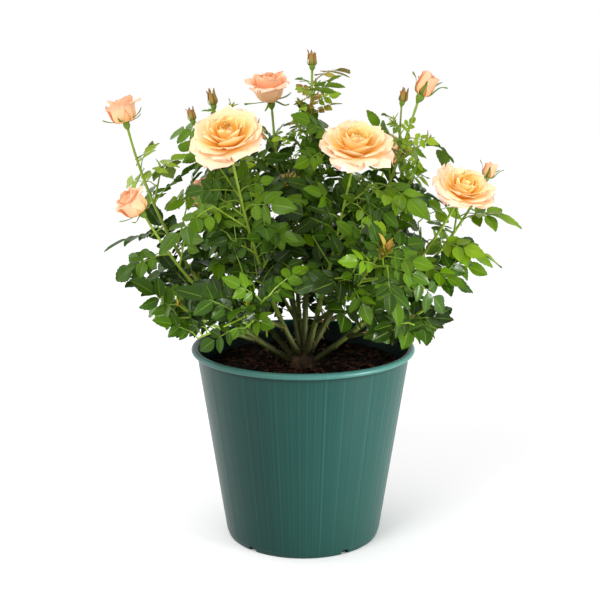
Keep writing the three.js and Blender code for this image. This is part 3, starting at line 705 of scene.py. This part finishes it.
def build_hip(greens, plan, kind, roll):
    """The green hip under a flower, and its five sepals. A bud's wrap it, with their tips free."""
    bud = plan["kind"] == "bud"
    scale = plan["size"] * (0.75 if bud else 1)
    heights = (-3, -1, 1.5, 4, 6.5, 8.5, 10, 10.6, 10.8)
    radii = (1.3, 2.0, 3.8, 4.7, 4.6, 4.0, 4.4, 3.0, 0.3)
    path = [add(plan["tip"], plan["look"], height * scale) for height in heights]
    tube(greens, path, np.array(radii) * scale, 12, 0.55)
    a = np.linspace(0, 1, 12)
    for i in range(5):
        leafy_tip = 0.4 * np.exp(-(((a - 0.8) / 0.08) ** 2)) if i % 2 else 0
        half = 2.4 * kind["sepal_width"] * (1 - a) ** 0.75 * (0.62 + 0.9 * a + leafy_tip) + 0.1
        spreads = (10, 8, 60) if bud else (26, 26, 26)
        leans = [lean + spread * (roll() - 0.5) for lean, spread in zip(kind["sepal"], spreads)]
        length = (18 if bud else 26) * (0.85 + 0.35 * roll())
        grid = lobe_grid(3.4 * scale / plan["size"], length, half, leans, 0.0 if bud else 0.2, (0.8, 3, i),
                         0.5, 0.7 if bud else 0.5)
        set_lobe(greens, plan, grid, (i + 0.25) / 5 * 2 * math.pi, kind["seat"] - 0.6, 0.4,
                 lambda a, b: (0.8 + 0.2 * a if bud else 0.25 + 0.4 * a) + 0 * b)


def build_flower(petals, greens, plan, seed):
    """A rose of nested petals on its hip, or a bud, at the end of a cane."""
    kind, roll = FLOWERS[plan["kind"]], dice(seed)
    a = np.linspace(0, 1, PETAL_ROWS)
    # a petal widens from its claw, and its lip rounds off over its last quarter
    widening = 0.3 + 0.7 * np.sin(np.clip(a * 1.25, 0, 1) * np.pi / 2)
    outline = widening * np.sqrt(np.clip(1 - (np.clip(a - 0.74, 0, 1) / 0.265) ** 2, 0, 1))
    low, high = kind["tone"]
    for i in range(kind["petals"]):
        f = i / (kind["petals"] - 1)
        length, width, foot, waist, lip, flat = (
            float(np.interp(f, (0, 0.33, 0.66, 1), kind[key]))
            for key in ("length", "width", "foot", "waist", "lip", "flat"))
        leans = (foot, waist + kind["loose"] * (roll() - 0.5), lip + 3 * kind["loose"] * (roll() - 0.5) * f)
        ruffle = (kind["ruffle"] * f * (0.5 + roll()), 2.5 + 5 * roll(), 6 * roll())
        half = 0.5 * width * (0.88 + 0.24 * roll()) * outline
        stretch = length * (0.92 + 0.16 * roll())
        grid = lobe_grid(0.6 + kind["spread"] * f, stretch, half, leans, flat, ruffle, 0.8, kind["break"])
        angle = (i * 137.508 + (roll() - 0.5) * 16) * DEG
        set_lobe(petals, plan, grid, angle, kind["seat"], 0.22,
                 lambda a, b: low + (high - low) * (0.22 * f + (0.32 + 0.4 * f) * a ** 1.1 + 0.06 * b * b))
    build_hip(greens, plan, kind, roll)


# ------------------------------------------------------------------ canes, stems and prickles


def cane_path(plan, start, stop):
    """A stretch of a cane: shares of its length, points and radii, with a slight swelling at each node."""
    steps = max(3, int(plan["length"] * (stop - start) / 3))
    t = np.linspace(start, stop, steps + 1)
    path = np.array([plan["at"](x) for x in t])
    radii = CANE["tip_radius"] + (plan["foot_radius"] - CANE["tip_radius"]) * (1 - t) ** 1.5
    nodes = (t - CANE["leafy_from"]) * plan["length"] / NODE_GAP
    swell = np.exp(-(((nodes - np.round(nodes)) * NODE_GAP) / 2.2) ** 2)
    return t, path, radii * (1 + 0.16 * swell)


def build_canes(plans, bark, stems):
    """Each cane, barked below and green above where it turns leafy, and its side shoots."""
    for plan in plans:
        for sheaf, start, stop in ((bark, 0.0, CANE["leafy_from"]), (stems, CANE["leafy_from"], 1.0)):
            t, path, radii = cane_path(plan, start, stop)
            angle = np.arange(10) * 2 * np.pi / 10
            rough = 1 + 0.05 * np.sin(3 * angle[None, :] + 9 * t[:, None]) * (1 - t[:, None])
            rough += 0.03 * np.sin(5 * angle[None, :] + 60 * t[:, None] + plan["index"])
            tube(sheaf, path, radii[:, None] * rough, 10, t)
        for node, end in plan["shoots"]:
            path = [mix(node, end, i / 6) for i in range(7)]
            tube(stems, path, np.linspace(SHOOT["radius"] * 1.15, 0.75, 7), 7, 0.75)


def build_prickles(sheaf, plans):
    """Hooked prickles scattered up each cane."""
    for plan in plans:
        roll = dice(plan["index"] + 900)
        reach = 9.0
        while reach < plan["length"] * 0.86:
            t = reach / plan["length"]
            reach += 9 + 14 * roll()
            base, run = plan["at"](t), along(plan["at"], t)
            radius = plan["foot_radius"] * (1 - t) + CANE["tip_radius"] * t
            out = turned_about(run, roll() * 2 * math.pi)
            length = (3.0 + 2.0 * roll()) * (1.05 - 0.4 * t)
            spots = [add(add(base, out, radius * 0.75 + length * s), run, -0.45 * length * s * s)
                     for s in (0, 0.5, 1)]
            tube(sheaf, spots, [1.25 * (1 - 0.3 * t), 0.55, 0.06], 5, t)


def build_union(material):
    """The knobbly stump that every cane springs from."""
    rows = 14
    bulge = [UNION["radius"] * 1.12 * math.cos(i / rows * math.pi / 2) ** 0.7 for i in range(rows)] + [0]
    made = spin_profile([(radius, UNION["height"] * i / rows) for i, radius in enumerate(bulge)], 40)
    for corner in made.verts:
        angle, v = math.atan2(corner.co.y, corner.co.x), corner.co.z / MM / UNION["height"]
        knobs = 1 + 0.12 * math.sin(5 * angle + 2 * v) + 0.08 * math.sin(9 * angle - 7 * v)
        knobs += 0.05 * math.sin(17 * angle)
        corner.co.xy *= knobs
        corner.co.z = (SOIL_LEVEL + 0.3) * MM + corner.co.z * (1 + 0.08 * math.sin(4 * angle))
    return finish(made, "stump", material)


# ------------------------------------------------------------------ pot and potting mix


def wall_at(z):
    """The radius of the outside of the pot's wall at a height."""
    return POT["base"] + (POT["wall_top"] - POT["base"]) * z / (POT["height"] - POT["bead"])


def pot_profile():
    """The pot's section from the middle of its underside, up its outside, over the rim and down inside."""
    top, bead, rim = POT["height"], POT["bead"], POT["rim"]
    inner_top = POT["wall_top"] - POT["wall"]
    points = [(0, 0), (40, 0), (80, 0), (POT["base"] - 1.8, 0), (POT["base"] - 0.9, 0.7)]
    points += [(wall_at(4.4) - POT["foot_step"], 4.4), (wall_at(5.0) - 0.7, 5.0), (wall_at(5.8), 5.8)]
    points += [(wall_at(z), z) for z in (7, 12, 20, 40, 70, 100, 130, 160, 185, 200, 208, 211.5)]
    points += [(POT["wall_top"], top - bead - 0.6), (POT["wall_top"] + 0.6, top - bead)]
    centre, half = rim - 4.2, bead / 2
    for step in range(0, 11):
        angle = (-80 + 17 * step) * DEG
        points.append((centre + 4.2 * math.cos(angle), top - half + half * math.sin(angle)))
    points += [(POT["wall_top"] - 0.3, top - 0.9), (inner_top, top - 3), (inner_top - 0.3, top - 8)]
    slope = (inner_top - (wall_at(3) - POT["wall"])) / (top - 3)
    points += [(inner_top - slope * (top - z), z) for z in (200, 180, 150, 100, 50, 12)]
    points += [(wall_at(3) - POT["wall"], POT["floor"]), (40, POT["floor"]), (0, POT["floor"])]
    return points


def spin_profile(points, steps):
    """A surface turned round +Z from pairs of radius and height, whose first and last lie on the axis."""
    made = bmesh.new()
    corners = [made.verts.new((radius * MM, 0, height * MM)) for radius, height in points]
    edges = [made.edges.new(pair) for pair in zip(corners, corners[1:])]
    bmesh.ops.spin(made, geom=corners + edges, cent=(0, 0, 0), axis=(0, 0, 1), angle=2 * math.pi, steps=steps,
                   use_merge=True)
    bmesh.ops.remove_doubles(made, verts=made.verts, dist=1e-6)
    bmesh.ops.recalc_face_normals(made, faces=made.faces)
    return made


def finish(made, name, material, tone=lambda out, height: 0.0):
    """A bmesh as a smooth object whose corners keep a tone worked out from their radius and height in mm."""
    mesh = bpy.data.meshes.new(name)
    made.to_mesh(mesh)
    made.free()
    tones = mesh.attributes.new("tone", "FLOAT", "POINT")
    for corner, value in zip(mesh.vertices, tones.data):
        value.value = tone(math.hypot(corner.co.x, corner.co.y) / MM, corner.co.z / MM)
    mesh.materials.append(material)
    mesh.shade_smooth()
    mesh.set_sharp_from_angle(angle=50 * DEG)
    piece = bpy.data.objects.new(name, mesh)
    bpy.context.collection.objects.link(piece)
    return piece


def pot_tone(out, height):
    """1 inside, for painted shade there, -1 on the rim, for a painted highlight, and 0.7 in the crease under
    the rim bead, for a painted shadow.
    """
    crease = POT["height"] - POT["bead"]
    # the rim bead: a painted highlight
    if height > crease + 0.5 and out > POT["wall_top"]:
        return -1.0
    # the crease just under the bead: a painted shadow
    if height > crease - 1.6 and out > POT["wall_top"] - 1:
        return 0.7
    # inside the pot: painted shade
    return float(height > 2 and out < wall_at(height) - 1)


def build_pot(material):
    """The pot's shell, with the thin upright lines that stand on its wall at uneven distances."""
    made = spin_profile(pot_profile(), POT["lines"])
    roll = dice(31)
    relief = [0.22 if roll() < 0.08 else -0.14 if roll() < 0.07 else 0.0 for _ in range(POT["lines"])]
    for corner in made.verts:
        out, height = math.hypot(corner.co.x, corner.co.y) / MM, corner.co.z / MM
        if 7 <= height <= 208 and out > wall_at(height) - 0.5:
            turn = math.atan2(corner.co.y, corner.co.x) / (2 * math.pi)
            corner.co.xy *= 1 + relief[round(turn * POT["lines"]) % POT["lines"]] / out
    pot = finish(made, "pot_shell", material, pot_tone)
    cut_notches(pot)
    return pot


def cut_notches(pot):
    """Cuts the drainage notches through the foot."""
    made = bmesh.new()
    for i in range(POT["notches"]):
        box = bmesh.ops.create_cube(made, size=1.0)["verts"]
        bmesh.ops.scale(made, vec=(14 * MM, POT["notch_width"] * MM, (POT["foot"] + 1) * MM), verts=box)
        bmesh.ops.translate(made, vec=(POT["base"] * MM, 0, (POT["foot"] / 2 - 0.5) * MM), verts=box)
        turn = Matrix.Rotation((POT["notch_first"] + i * 360 / POT["notches"]) * DEG, 3, "Z")
        bmesh.ops.rotate(made, matrix=turn, verts=box)
    cutter = finish(made, "notch_cutter", pot.data.materials[0])
    cut = pot.modifiers.new("notches", "BOOLEAN")
    cut.operation, cut.object, cut.solver = "DIFFERENCE", cutter, "EXACT"
    pot.data = bpy.data.meshes.new_from_object(pot.evaluated_get(bpy.context.evaluated_depsgraph_get()))
    pot.modifiers.clear()
    bpy.data.objects.remove(cutter)


def build_soil(material, roll):
    """A rough bed of potting mix, a little below the rim, that is calmer near the stump."""
    inner = wall_at(SOIL_LEVEL) - POT["wall"] - 1.2
    rows = 60
    points = [(inner * i / rows, SOIL_LEVEL) for i in range(rows + 1)]
    points += [(wall_at(176) - 4, 176), (wall_at(150) - 6, 150), (0, 148)]
    made = spin_profile(points, 150)
    waves = [(scale, height, roll() * 6, roll() * 6, roll() * 6)
             for scale, height in ((0.035, 1.5), (0.09, 0.9), (0.21, 0.6), (0.5, 0.45), (0.9, 0.3))]
    for corner in made.verts:
        x, y = corner.co.x / MM, corner.co.y / MM
        if corner.co.z / MM < SOIL_LEVEL - 1:
            continue
        rough = 0
        for scale, height, p, q, r in waves:
            bend = 1.7 * math.sin(y * scale * 0.8 + r)
            rough += height * math.sin(x * scale + p + bend) * math.cos(y * scale * 1.1 + q)
        calmed = min(1, max(0.15, (math.hypot(x, y) - UNION["radius"]) / 20))
        corner.co.z += (rough * calmed - 0.6) * MM
    return finish(made, "soil_bed", material, lambda out, height: 0.2)


def build_crumbs(sheaf, roll):
    """Loose crumbs of peat and chips of bark on the potting mix."""
    inner = wall_at(SOIL_LEVEL) - POT["wall"] - 4
    cube = np.array([(x, y, z) for x in (-1, 1) for y in (-1, 1) for z in (-1, 1)], float)
    quads = [(0, 1, 3, 2), (4, 6, 7, 5), (0, 4, 5, 1), (2, 3, 7, 6), (0, 2, 6, 4), (1, 5, 7, 3)]
    for _ in range(CRUMBS):
        out, turn = inner * math.sqrt(roll()), roll() * 2 * math.pi
        if out < UNION["radius"] + 2:
            continue
        chip = roll() < 0.3
        if chip:
            span = (2.2 + 3.6 * roll(), 0.8 + 1.2 * roll(), 0.35 + 0.5 * roll())
        else:
            span = [0.7 + 1.6 * roll() ** 3] * 3
        yaw, pitch = roll() * 6.283, (roll() - 0.5) * 0.9
        body = cube * (0.7 + 0.3 * np.array([[roll(), roll(), roll()] for _ in range(8)])) * span
        body = body @ np.array(Matrix.Rotation(pitch, 3, "Y") @ Matrix.Rotation(-yaw, 3, "Z"))
        spot = np.array([out * math.cos(turn), out * math.sin(turn), SOIL_LEVEL + 0.4 + 1.2 * roll()])
        tone = 0.5 + 0.5 * roll() if chip else 0.35 * roll()
        sheaf.add(body + spot, quads, tone, np.zeros((8, 2)))


# ------------------------------------------------------------------ materials

# the tones of buds run up from the first of these, and those of half open flowers up to the second
PETAL_TONES = (-0.4, 2.0)
VEIN_PAIRS = 8
# about this many veins over half the width of a petal
PETAL_VEINS = 16.0
# the output and the setting of a Mix node that mixes colours
COLOURS = {"out": 2, "data_type": "RGBA"}


def linear(code):
    """An sRGB hex colour as linear RGBA."""
    parts = [int(code[i:i + 2], 16) / 255 for i in (0, 2, 4)]
    return (*((c / 12.92 if c <= 0.04045 else ((c + 0.055) / 1.055) ** 2.4) for c in parts), 1.0)


def add_node(tree, kind, inputs, out=0, stops=(), **settings):
    """Adds a node with its settings, colour stops and links, and gives one of its outputs."""
    made = tree.nodes.new("ShaderNode" + kind)
    for key, value in settings.items():
        setattr(made, key, value)
    while stops and len(made.color_ramp.elements) < len(stops):
        made.color_ramp.elements.new(0.5)
    for i, (position, code) in enumerate(stops):
        made.color_ramp.elements[i].position = position
        made.color_ramp.elements[i].color = linear(code)
    for key, value in inputs.items():
        if isinstance(value, bpy.types.NodeSocket):
            tree.links.new(value, made.inputs[key])
        else:
            made.inputs[key].default_value = value
    return made.outputs[out]


def new_material(name, **constants):
    """A material, its shader with the constant sockets set, and what adds nodes to its tree."""
    made = bpy.data.materials.new(name)
    made.use_nodes = True
    shader = made.node_tree.nodes["Principled BSDF"]
    for key, value in constants.items():
        shader.inputs[key.replace("_", " ")].default_value = value
    return made, shader, functools.partial(add_node, made.node_tree)


def dress(shader, node, colour, relief, strength, depth):
    """Gives a shader its colour and a relief, whose depth is in millimetres."""
    raised = node("Bump", {"Height": relief, "Strength": strength, "Distance": depth * MM})
    shader.id_data.links.new(colour, shader.inputs["Base Color"])
    shader.id_data.links.new(raised, shader.inputs["Normal"])


def grain(node, width, detail=3.0, squash=1.0):
    """Mottling with grains of a width in millimetres. A low squash draws them out up the plant."""
    spot = node("TexCoord", {}, out="Object")
    spot = node("Mapping", {"Vector": spot, "Scale": (1, 1, squash)})
    return node("TexNoise", {"Vector": spot, "Scale": 1 / (width * MM), "Detail": detail})


def leaf_material():
    """The upper side of a rose leaf: a waxy skin, so satin green, with a paler midrib and side veins."""
    made, shader, node = new_material("leaf_upper", Roughness=0.32, Specular_IOR_Level=0.18)
    tone = node("Attribute", {}, out="Fac", attribute_name="tone")
    place = node("Attribute", {}, out="Vector", attribute_name="place")
    across, up, _ = node("SeparateXYZ", {0: place}).node.outputs
    side = node("Math", {0: across}, operation="ABSOLUTE")
    rib = node("Math", {0: side, 1: 0.06}, operation="LESS_THAN")
    slant = node("Math", {0: side, 1: -0.32, 2: up}, operation="MULTIPLY_ADD")
    row = node("Math", {0: slant, 1: 0.5 / VEIN_PAIRS}, operation="PINGPONG")
    vein = node("Math", {0: row, 1: 0.44 / VEIN_PAIRS}, operation="GREATER_THAN")
    fainter = node("Math", {0: vein, 1: 0.5}, operation="MULTIPLY")
    lines = node("Math", {0: rib, 1: fainter}, operation="MAXIMUM")
    # the tone picks the colour, so the painted shade and painted light in leaf tones show here
    base = node("ValToRGB", {0: tone}, stops=(
        (0.0, "0C1C00"), (0.25, "2E5000"), (0.5, "688E02"), (0.72, "A0B828"), (0.85, "B0A838"),
        (1.0, "B0683A")))
    darker = node("Mix", {0: 0.4, 6: base, 7: linear("173404")}, **COLOURS)
    mottled = node("Mix", {0: grain(node, 11.1), 6: base, 7: darker}, **COLOURS)
    paler = node("Math", {0: lines, 1: 0.22}, operation="MULTIPLY")
    veined = node("Mix", {0: paler, 6: mottled, 7: linear("A0BC40")}, **COLOURS)
    sunk = node("Math", {0: lines, 1: -1.0}, operation="MULTIPLY")
    dress(shader, node, veined, sunk, 0.35, 0.6)
    return made


def leaf_back_material():
    """The underside of a rose leaf: without wax, so paler, greyer and duller than its face."""
    made, shader, node = new_material("leaf_back", Roughness=0.7, Specular_IOR_Level=0.1)
    tone = node("Attribute", {}, out="Fac", attribute_name="tone")
    base = node("ValToRGB", {0: tone}, stops=(
        (0.0, "2C4C0C"), (0.5, "5C8424"), (0.85, "8CA63A"), (1.0, "9A6A48")))
    made.node_tree.links.new(base, shader.inputs["Base Color"])
    return made


def petal_material(name, *stops):
    """One side of a rose petal, from its heart out to its margin: thin and silky, with a faint painted glow
    standing in for light shining through.

    Tones below 0 are a bud's, from 0 to 1 an open flower's, and from 1 to 2 a half open flower's.
    """
    # Emission Strength 0.1 is a painted glow, in place of light shining through the petal
    made, shader, node = new_material(name, Roughness=0.6, Specular_IOR_Level=0.2, Emission_Strength=0.1)
    low, high = PETAL_TONES
    tone = node("Attribute", {}, out="Fac", attribute_name="tone")
    share = node("MapRange", {"Value": tone, "From Min": low, "From Max": high})
    colour = node("ValToRGB", {0: share}, stops=[((at - low) / (high - low), code) for at, code in stops])
    place = node("Attribute", {}, out="Vector", attribute_name="place")
    across, up, _ = node("SeparateXYZ", {0: place}).node.outputs
    shortened = node("Math", {0: up, 1: 0.15}, operation="MULTIPLY")
    drawn_out = node("CombineXYZ", {"X": across, "Y": shortened})
    veins = node("TexNoise", {"Vector": drawn_out, "Scale": PETAL_VEINS, "Detail": 4.0})
    faint = node("Math", {0: veins, 1: 0.3}, operation="MULTIPLY")
    tinted = node("Mix", {0: faint, 6: colour, 7: linear("F6C48C")}, blend_type="MULTIPLY", **COLOURS)
    # the painted glow takes the petal's own colour
    made.node_tree.links.new(tinted, shader.inputs["Emission Color"])
    dress(shader, node, tinted, veins, 0.15, 0.8)
    return made


def green_material(name, *stops, roughness=0.45):
    """Living bark on stems and stalks: smooth, faintly streaked, coloured by how far up the cane it is, or on
    a leaf stalk by its leaf's tone, painted shade and painted light included.
    """
    made, shader, node = new_material(name, Roughness=roughness, Specular_IOR_Level=0.2)
    tone = node("Attribute", {}, out="Fac", attribute_name="tone")
    base = node("ValToRGB", {0: tone}, stops=stops)
    streaks = grain(node, 4.55, 4.0, 0.3)
    faint = node("Math", {0: streaks, 1: 0.5}, operation="MULTIPLY")
    colour = node("Mix", {0: faint, 6: base, 7: linear("3C4A1A")}, **COLOURS)
    dress(shader, node, colour, streaks, 0.35, 0.5)
    return made


def bark_material():
    """Old bark on the stump: dry, brown and deeply fissured."""
    made, shader, node = new_material("stump_bark", Roughness=0.9)
    fissures = grain(node, 7.7, 6.0, 0.35)
    colour = node("ValToRGB", {0: fissures}, stops=((0.3, "1C120A"), (0.5, "3E2C1A"), (0.72, "5C472C")))
    dress(shader, node, colour, fissures, 0.9, 2)
    return made


def pot_material():
    """Teal green moulded polypropylene: satin, with fine upright lines left by the mould, painted shade
    inside and under the rim, and a painted highlight on the rim.
    """
    made, shader, node = new_material("pot_plastic", Roughness=0.36, Specular_IOR_Level=0.22)
    tone = node("Attribute", {}, out="Fac", attribute_name="tone")
    x, y, _ = node("SeparateXYZ", {0: node("TexCoord", {}, out="Object")}).node.outputs
    turn = node("Math", {0: y, 1: x}, operation="ARCTAN2")
    # mould lines about 3 mm apart round the top of the wall, and bands 34 mm wide
    fine, broad = (
        node("TexNoise", {"W": turn, "Scale": POT["wall_top"] / gap, "Detail": detail}, noise_dimensions="1D")
        for gap, detail in ((2.876, 2.0), (34, 1.0)))
    colour = node("ValToRGB", {0: fine}, stops=(
        (0.3, "062E2A"), (0.5, "08332F"), (0.64, "0B3A36"), (0.8, "1B4F4B")))
    # darker bands, worn patches, the painted highlight on the rim, and the painted shadow under the rim with
    # the painted shade inside
    for source, share, code in (
        (broad, 0.55, "06302C"),
        (grain(node, 111), 0.3, "234A3E"),
        # painted highlight on the rim bead
        (tone, -0.28, "5E9A90"),
        # painted shadow under the bead and painted shade inside the pot
        (tone, 0.6, "06100D"),
    ):
        factor = node("Math", {0: source, 1: share}, operation="MULTIPLY", use_clamp=True)
        colour = node("Mix", {0: factor, 6: colour, 7: linear(code)}, **COLOURS)
    dress(shader, node, colour, fine, 0.12, 0.5)
    return made


def soil_material():
    """Potting mix: dull, dark and crumbly peat, with reddish brown chips of bark."""
    made, shader, node = new_material("potting_mix", Roughness=1.0, Specular_IOR_Level=0.15)
    tone = node("Attribute", {}, out="Fac", attribute_name="tone")
    base = node("ValToRGB", {0: tone}, stops=(
        (0.0, "140B07"), (0.3, "241610"), (0.6, "4A2A1B"), (1.0, "6E4630")))
    crumb = grain(node, 3.85, 6.0)
    darker = node("Math", {0: crumb, 1: 0.6}, operation="MULTIPLY")
    colour = node("Mix", {0: darker, 6: base, 7: linear("0F0906")}, **COLOURS)
    dress(shader, node, colour, crumb, 1.0, 3)
    return made


# ------------------------------------------------------------------ the finished plant


def settle(piece, slot, *nodes):
    """Tells what a finished piece rides on and the nodes that it stands for. slot is not used."""
    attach(piece, "root")
    if nodes:
        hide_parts(*nodes)


def leaf_tone(leaf, roll):
    """Painted shade darkens low leaves and those near the crown's middle, painted light brightens high and
    outer ones, tones differ at random, and the youngest are reddish.
    """
    out, height = math.hypot(leaf.node[0], leaf.node[1]), (leaf.node[2] - SOIL_LEVEL) / 340
    # shade: painted shade on low leaves near the middle; the outer and height terms below paint light on
    # outer and high leaves
    shade = max(0, 1 - out / 120) * min(1, max(0, 2.2 - 3 * height))
    tone = max(0, out - 90) / 600 - 0.05 + 0.8 * min(0.8, height) + 0.4 * (roll() - 0.5) - 0.24 * shade
    if height > 0.76 and roll() < 0.3:
        return 0.92
    return min(0.64, max(0.0, tone))


def grow_young_tip(leaves, stalks, plan):
    """The tuft at the end of a flowerless cane. The front shoot's is larger and stands a little proud."""
    heading, spot = along(plan["at"], 1), plan["tip"]
    if plan["name"] != "front_shoot":
        grow_tuft(leaves, spot, heading, plan["index"] + 500, 6)
        return
    spot = add(add(spot, heading, 10), FRONT, 22)
    tube(stalks, [mix(plan["tip"], spot, i / 4) for i in range(5)], np.linspace(1.3, 0.9, 5), 6, 0.8)
    grow_tuft(leaves, spot, unit(add(heading, FRONT, 0.3)), plan["index"] + 500, 18, 1.5)


def build_mass(plan, leaf_sides, stalk, petal_sides, green):
    """One mass: the leaves, their stalks and young tufts on a cane, then its flower and buds."""
    mass, roll = "foliage_" + plan["name"], dice(plan["index"] + 300)
    leaves, stalks = Sheaf(), Sheaf()
    for leaf in plan["leaves"]:
        leaf.pairs = 2
        tone = leaf_tone(leaf, roll)
        # the leaf's tone, with its painted shade and painted light, colours its leaflets and its stalk
        hang_leaflets(leaves, leaf, tone, roll)
        grow_leaf_stalk(stalks, leaf, tone)
    if not plan["kind"]:
        grow_young_tip(leaves, stalks, plan)
    for node, end in plan["shoots"]:
        if end[2] > SOIL_LEVEL + TUFTS_FROM:
            grow_tuft(leaves, end, unit(add(end, node, -1)), plan["index"] + int(end[2]), 5)
    settle(leaves.piece("leaves_" + plan["name"], *leaf_sides), "foliage", mass)
    settle(stalks.piece("leaf_stalks_" + plan["name"], stalk), "foliage", mass)
    if not plan["kind"]:
        return
    petals, greens = Sheaf(), Sheaf()
    build_flower(petals, greens, plan, plan["index"] + 50)
    for bud in plan["side_buds"]:
        build_flower(petals, greens, bud, plan["index"] + 80)
        path = [mix(bud["node"], bud["tip"], i / 6) for i in range(7)]
        tube(greens, path, np.linspace(SHOOT["radius"], 1.0, 7), 7, 0.75)
    settle(petals.piece("petals_" + plan["name"], *petal_sides), "foliage", mass)
    settle(greens.piece("hip_" + plan["name"], green), "foliage", mass)


def build_wood(plans):
    """The canes up to where they turn leafy, the green stems above that, and the prickles on both."""
    bark, stems, prickles = Sheaf(), Sheaf(), Sheaf()
    build_canes(plans, bark, stems)
    build_prickles(prickles, plans)
    old = green_material("cane_bark", (0.0, "2C2210"), (0.1, "363814"), (0.3, "4E5C1C"), roughness=0.6)
    young = green_material("green_stem", (0.0, "56601E"), (0.35, "6A7E22"), (0.8, "86A22C"), (1.0, "94AE38"))
    thorn = green_material("prickle", (0.0, "6B4A2C"), (0.5, "8A5A3A"), (1.0, "A06A4A"))
    settle(bark.piece("canes", old), "cane_bark", *("cane_" + plan["name"] for plan in plans))
    settle(stems.piece("stems", young), "cane_bark")
    settle(prickles.piece("prickles", thorn), "cane_bark")


def build_plant():
    plans = grow_crown()
    build_wood(plans)
    petal = petal_material(
        "petal_face", (-0.4, "9A3E20"), (-0.1, "D9702A"), (-0.05, "F88200"), (0.16, "FEA20A"),
        (0.34, "FEC83E"), (0.5, "FDDE86"), (0.7, "FBDFB4"), (1.0, "F8D6C8"), (1.02, "F2A840"),
        (1.3, "F6BE86"), (1.65, "F8CCA8"), (2.0, "F8D8C6"))
    petal_back = petal_material(
        "petal_back", (-0.4, "9A4A28"), (-0.1, "C8663A"), (-0.05, "FA9218"), (0.3, "FAC04C"),
        (0.5, "F9DA94"), (0.7, "F8DABA"), (1.0, "F5D0C4"), (1.02, "EEAE48"), (1.3, "F3BC88"),
        (1.65, "F5C6A4"), (2.0, "F4CCB8"))
    green = green_material(
        "flower_stalk", (0.0, "5A8226"), (0.6, "7A9A30"), (0.85, "9A9440"), (1.0, "A4743C"))
    stalk = green_material("leaf_stalk", (0.0, "6E8E26"), (0.6, "8AA636"), (1.0, "96603A"))
    leaf_sides = leaf_material(), leaf_back_material()
    for plan in plans:
        build_mass(plan, leaf_sides, stalk, (petal_back, petal), green)


def build_pot_and_soil():
    settle(build_pot(pot_material()), "pot_plastic", "pot")
    roll, earth, crumbs = dice(77), soil_material(), Sheaf()
    settle(build_soil(earth, roll), "potting_mix", "soil")
    build_crumbs(crumbs, roll)
    settle(crumbs.piece("soil_crumbs", earth), "potting_mix")
    settle(build_union(bark_material()), "old_wood", "bud_union")


# ------------------------------------------------------------------ stage, light and camera


def build_floor():
    made = bmesh.new()
    bmesh.ops.create_grid(made, x_segments=2, y_segments=2, size=30.0)
    mesh = bpy.data.meshes.new("floor")
    made.to_mesh(mesh)
    made.free()
    floor = bpy.data.objects.new("floor", mesh)
    bpy.context.collection.objects.link(floor)
    mesh.materials.append(new_material("pale_floor", Base_Color=linear("FFFFFF"), Roughness=1.0,
                                       Specular_IOR_Level=0.0)[0])


def build_lights():
    """A bright white world, a key light from the front left, and panels that shine on the pot's sides."""
    world = bpy.data.worlds.new("soft_white")
    bpy.context.scene.world = world
    world.use_nodes = True
    world.node_tree.nodes["Background"].inputs["Color"].default_value = (1, 1, 1, 1)
    world.node_tree.nodes["Background"].inputs["Strength"].default_value = 1.0
    for name, spot, aim, size, power, spread in (
        ("key", (-1.0, -1.5, 2.0), (0, 0, 0.35), 1.0, 22, 180),
        ("right_panel", (1.2, -0.65, 0.06), (0, 0, 0.06), 0.5, 2.4, 24),
        ("left_panel", (-1.6, 0.4, 0.7), (0, 0, 0.25), 1.2, 6, 180),
    ):
        lamp = bpy.data.lights.new(name, "AREA")
        lamp.size, lamp.energy, lamp.spread = size, power, spread * DEG
        holder = bpy.data.objects.new(name, lamp)
        holder.location = spot
        holder.rotation_euler = (Vector(aim) - Vector(spot)).to_track_quat("-Z", "Y").to_euler()
        bpy.context.collection.objects.link(holder)


def build_camera():
    camera = bpy.data.cameras.new("camera")
    camera.lens, camera.sensor_width = 71.7, 36
    camera.clip_start, camera.clip_end = 0.05, 100
    holder = bpy.data.objects.new("camera", camera)
    holder.location = (-0.0035, -1.3, 0.558)
    holder.rotation_euler = (math.pi / 2 - 0.2175, 0, 0)
    bpy.context.collection.objects.link(holder)
    bpy.context.scene.camera = holder
    bpy.context.scene.view_settings.view_transform = "Standard"


build_plant()
build_pot_and_soil()
build_floor()
build_lights()
build_camera()
